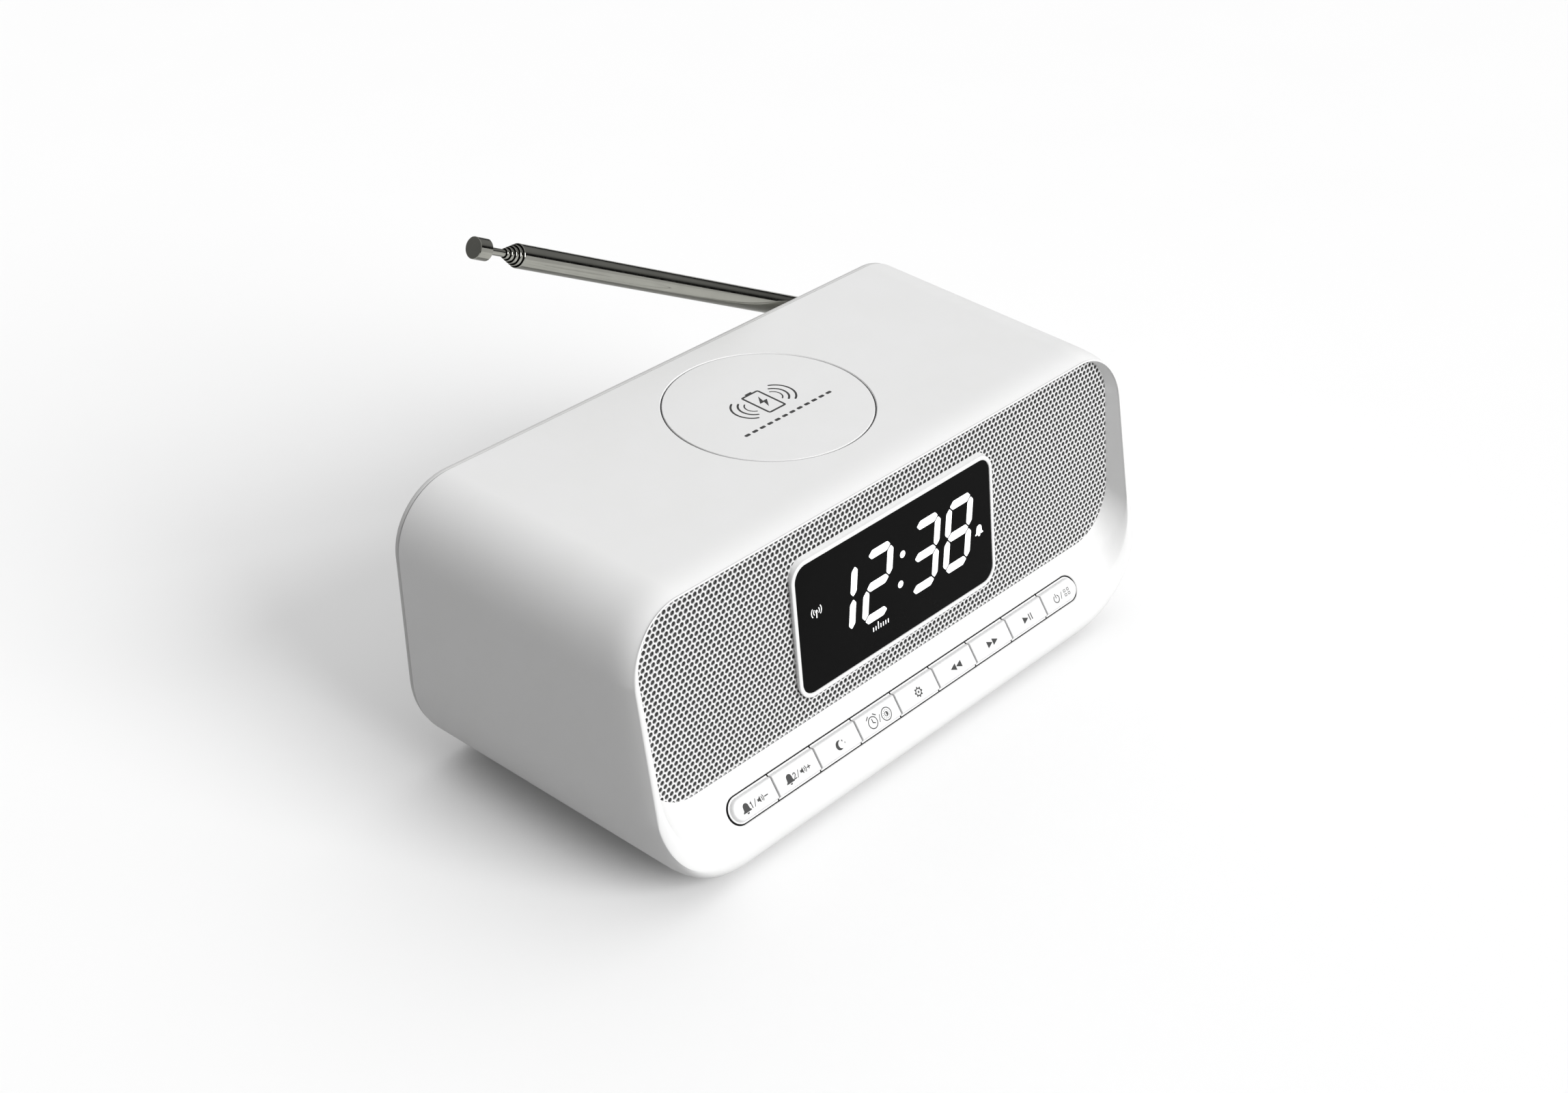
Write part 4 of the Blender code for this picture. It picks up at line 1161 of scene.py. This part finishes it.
def antenna():
    """The nested tubes, the solid rod inside them, the tip, and the hinge at the foot."""
    last = SECTION_COUNT - 1
    for index in range(SECTION_COUNT):
        body = f"section_{index + 1}" if index else "rod"
        outer = SECTION_RADIUS - index * SECTION_STEP / 2
        foot = SECTION_FOOT + index * 2 * MM
        top = SECTION_TOP + index * SECTION_REVEAL
        if index < last:
            inner = outer - SECTION_WALL
            lip = [(outer - inset, top - below) for inset, below in TUBE_LIP]
            bm = turned([(inner, foot), (outer, foot), *lip, (inner, top - 0.04 * MM)], 64, closed=True)
        else:
            top += ROD_REVEAL - SECTION_REVEAL
            bm = drum(outer, foot, top)
        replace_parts(metal_piece(f"tube_{index + 1}", bm, body), f"antenna_section_{index + 1}")
    edge = 0.14 * MM
    profile = [(0, 0), (TIP_RADIUS - edge, 0), (TIP_RADIUS, edge), (TIP_RADIUS, TIP_LENGTH - edge),
               (TIP_RADIUS - edge, TIP_LENGTH), (0, TIP_LENGTH)]
    at_top = ANTENNA @ Matrix.Translation((0, 0, top + HAIR))
    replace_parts(metal_piece("tip", turned(profile, 64), body, at_top), "antenna_tip")
    knuckle()
    fork()


def knuckle():
    """The barrel round the hinge pin, its stem and the collar that holds the first tube."""
    half = 1.65 * MM
    edge = 0.2 * MM
    barrel = ((HINGE_RADIUS, half - edge), (HINGE_RADIUS, -half + edge), (HINGE_RADIUS - edge, -half),
              (HINGE_BORE, -half), (HINGE_BORE, half), (HINGE_RADIUS - edge, half))
    piece = metal_piece("knuckle", turned(barrel, closed=True), "rod", ALONG_PIN)
    side = softened(box_outline(2 * half, 4.4 * MM), 0.4 * MM)
    metal_piece("knuckle_stem", loft(stacked((side, 2.2 * MM), (side, 7.6 * MM)), capped=True), "rod")
    foot = SECTION_FOOT - 0.05 * MM
    collar = [(SECTION_RADIUS - inset, foot - below)
              for inset, below in mm(((0.1, 0), (0, 0.15), (0, 1.9), (0.3, 2.2)))]
    metal_piece("knuckle_collar", turned([(0, foot), *collar, (0, foot - 2.2 * MM)], 64), "rod")
    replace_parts(piece, "antenna_knuckle")


def fork():
    """The swivel's round plate and ears, and the pin's rounded heads."""
    plate_front = COVER_BACK + 0.3 * MM - middle("antenna_pin").y
    at_plate = ANTENNA @ Matrix.Translation((0, plate_front, 0)) @ FACE_BACK
    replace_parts(metal_piece("swivel_plate", turned(PLATE, 64), "swivel", at_plate), "antenna_swivel")
    add_piece("swivel_stud", turned(STUD), steel, "swivel", at_plate)
    foot = plate_front + 1.2 * MM
    side_view = [(foot, -HINGE_RADIUS)] + arc(0, 0, HINGE_RADIUS, -90, 90, 24) + [(foot, HINGE_RADIUS)]
    for side, name in ((-1, "left"), (1, "right")):
        rings = []
        for offset, shrink in EAR:
            scale = 1 - shrink * MM / HINGE_RADIUS
            x = side * (2.0 + offset) * MM
            rings.append([(x, y * (scale if y > foot else 1), z * scale) for y, z in side_view])
        ear = metal_piece("fork_ear_" + name, loft(rings, capped=True), "swivel")
        cut(ear, drum(HINGE_BORE, -6 * MM, 6 * MM, 32), ALONG_PIN)
    pin = add_piece("hinge_pin", turned(HINGE_PIN, 32), steel, "swivel", ALONG_PIN)
    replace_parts(pin, "antenna_pin")


# CAD nodes that stay, by finish.
FINISHES = (
    (dark, ("display_module", *SOCKETS, *("switch_" + name for name in KEY_NAMES))),
    (board_green, ("main_board", "key_board")),
    (baffle_grey, ("front_baffle",)),
    (copper, ("charging_coil",)),
    (ferrite, ("ferrite_plate", "speaker_left_magnet", "speaker_right_magnet")),
    (steel, ("speaker_left_frame", "speaker_right_frame")),
    (paper, ("speaker_left_cone", "speaker_right_cone")),
)


def dress_cad_nodes():
    for material, names in FINISHES:
        for name in names:
            finishes = frame["nodes"][name].data.materials
            finishes.clear()
            finishes.append(material)


# Floor, light and camera.
FLOOR_HALF = 4.0
FLOOR_GRAY = 0.885
BOUNCE_GRAY = 0.56
SUN_FROM = Vector((0.10, -0.87, 0.46))
SUN_STRENGTH = 2.8
SUN_WIDTH = math.radians(36)
SKY_FROM = Vector((0.46, 0.05, 0.86))
# (position, gray) stops: by how far a direction is turned to SKY_FROM, and by height.
SKY_STOPS = ((0.0, 0.02), (0.4, 0.05), (0.65, 0.29), (0.85, 0.84), (1.0, 1.12))
MIRRORED_STOPS = ((0.0, 0.01), (0.12, 0.01), (0.24, 0.22), (0.6, 0.36), (1.0, 0.42))
CAMERA_PLACE = mm((-388.33, -357.63, 381.06))
CAMERA_TURN = (57.521, 0.285, -47.097)
CAMERA_LENS = 51.924
NEAR_CLIP = 10 * MM


def floor():
    """A wide pale sheet under the feet. What it throws back onto the radio is held down."""
    level = min(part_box(name)[0].z for name in FEET)
    bm = bmesh.new()
    bm.faces.new([bm.verts.new((x, y, level)) for x, y in box_outline(2 * FLOOR_HALF, 2 * FLOOR_HALF)])
    mesh = bpy.data.meshes.new("floor")
    bm.to_mesh(mesh)
    bm.free()
    paint = surface("floor_paper", gray(FLOOR_GRAY), (0.7, 0.8), tone=0.004, cloud=3, grain=300, specular=0.1)
    mesh.materials.append(paint)
    tree = paint.node_tree
    shader = tree.nodes["Principled BSDF"]
    shader.inputs["Emission Color"].default_value = (1, 1, 1, 1)
    shader.inputs["Emission Strength"].default_value = 0.02
    base = shader.inputs["Base Color"]
    direct = add_node(tree, "LightPath").outputs["Is Camera Ray"]
    shown = add_node(tree, "Mix", {"B": base.links[0].from_socket, "Factor": direct},
                     {"A": (*gray(BOUNCE_GRAY), 1)}, data_type="RGBA")
    tree.links.new(shown.outputs["Result"], base)
    new_object("floor", mesh)


def gray_ramp(tree, value, stops):
    """The gray a value has on a ramp of (position, gray) stops."""
    ramp = add_node(tree, "ValToRGB", {"Fac": value})
    elements = ramp.color_ramp.elements
    elements.remove(elements[1])
    for position, level in stops[1:]:
        elements.new(position).color = (*gray(level), 1)
    elements[0].position = stops[0][0]
    elements[0].color = (*gray(stops[0][1]), 1)
    return ramp.outputs["Color"]


def world():
    """A soft sky, brighter from one side. Mirrored, it has a dark horizon, and seen directly it is white."""
    sky = bpy.data.worlds.new("studio")
    bpy.context.scene.world = sky
    sky.use_nodes = True
    tree = sky.node_tree
    soft = tree.nodes["Background"]
    soft.inputs["Strength"].default_value = 1.0
    direction = add_node(tree, "TexCoord").outputs["Generated"]
    height = add_node(tree, "SeparateXYZ", {"Vector": direction}).outputs["Z"]
    facing = add_node(tree, "VectorMath", {0: direction}, {1: SKY_FROM.normalized()}, operation="DOT_PRODUCT")
    share = add_node(tree, "MapRange", {"Value": facing.outputs["Value"]}, {"From Min": -1.0})
    tree.links.new(gray_ramp(tree, share.outputs["Result"], SKY_STOPS), soft.inputs["Color"])
    mirrored = add_node(tree, "Background", {"Color": gray_ramp(tree, height, MIRRORED_STOPS)})
    backdrop = add_node(tree, "Background", values={"Color": (1, 1, 1, 1)})
    path = add_node(tree, "LightPath").outputs
    shader = soft.outputs["Background"]
    for ray, other in (("Is Glossy Ray", mirrored), ("Is Camera Ray", backdrop)):
        links = {"Fac": path[ray], 1: shader, 2: other.outputs["Background"]}
        shader = add_node(tree, "MixShader", links).outputs["Shader"]
    tree.links.new(shader, tree.nodes["World Output"].inputs["Surface"])


def sun():
    light = bpy.data.lights.new("key_light", "SUN")
    light.energy = SUN_STRENGTH
    light.angle = SUN_WIDTH
    new_object("key_light", light).rotation_euler = SUN_FROM.to_track_quat("Z", "Y").to_euler()


def camera():
    lens = bpy.data.cameras.new("camera")
    lens.lens = CAMERA_LENS
    lens.clip_start = NEAR_CLIP
    eye = new_object("camera", lens)
    eye.location = CAMERA_PLACE
    eye.rotation_euler = [math.radians(a) for a in CAMERA_TURN]
    bpy.context.scene.camera = eye


shell()
cover()
slot_shade_sleeve()
grille()
grille_cloth()
bezel()
window()
display_marks()
key_caps()
pad()
pad_groove_shade()
pad_marks()
feet()
screws()
socket_details()
antenna()
dress_cad_nodes()
floor()
world()
sun()
camera()
bpy.context.scene.view_settings.view_transform = "Standard"
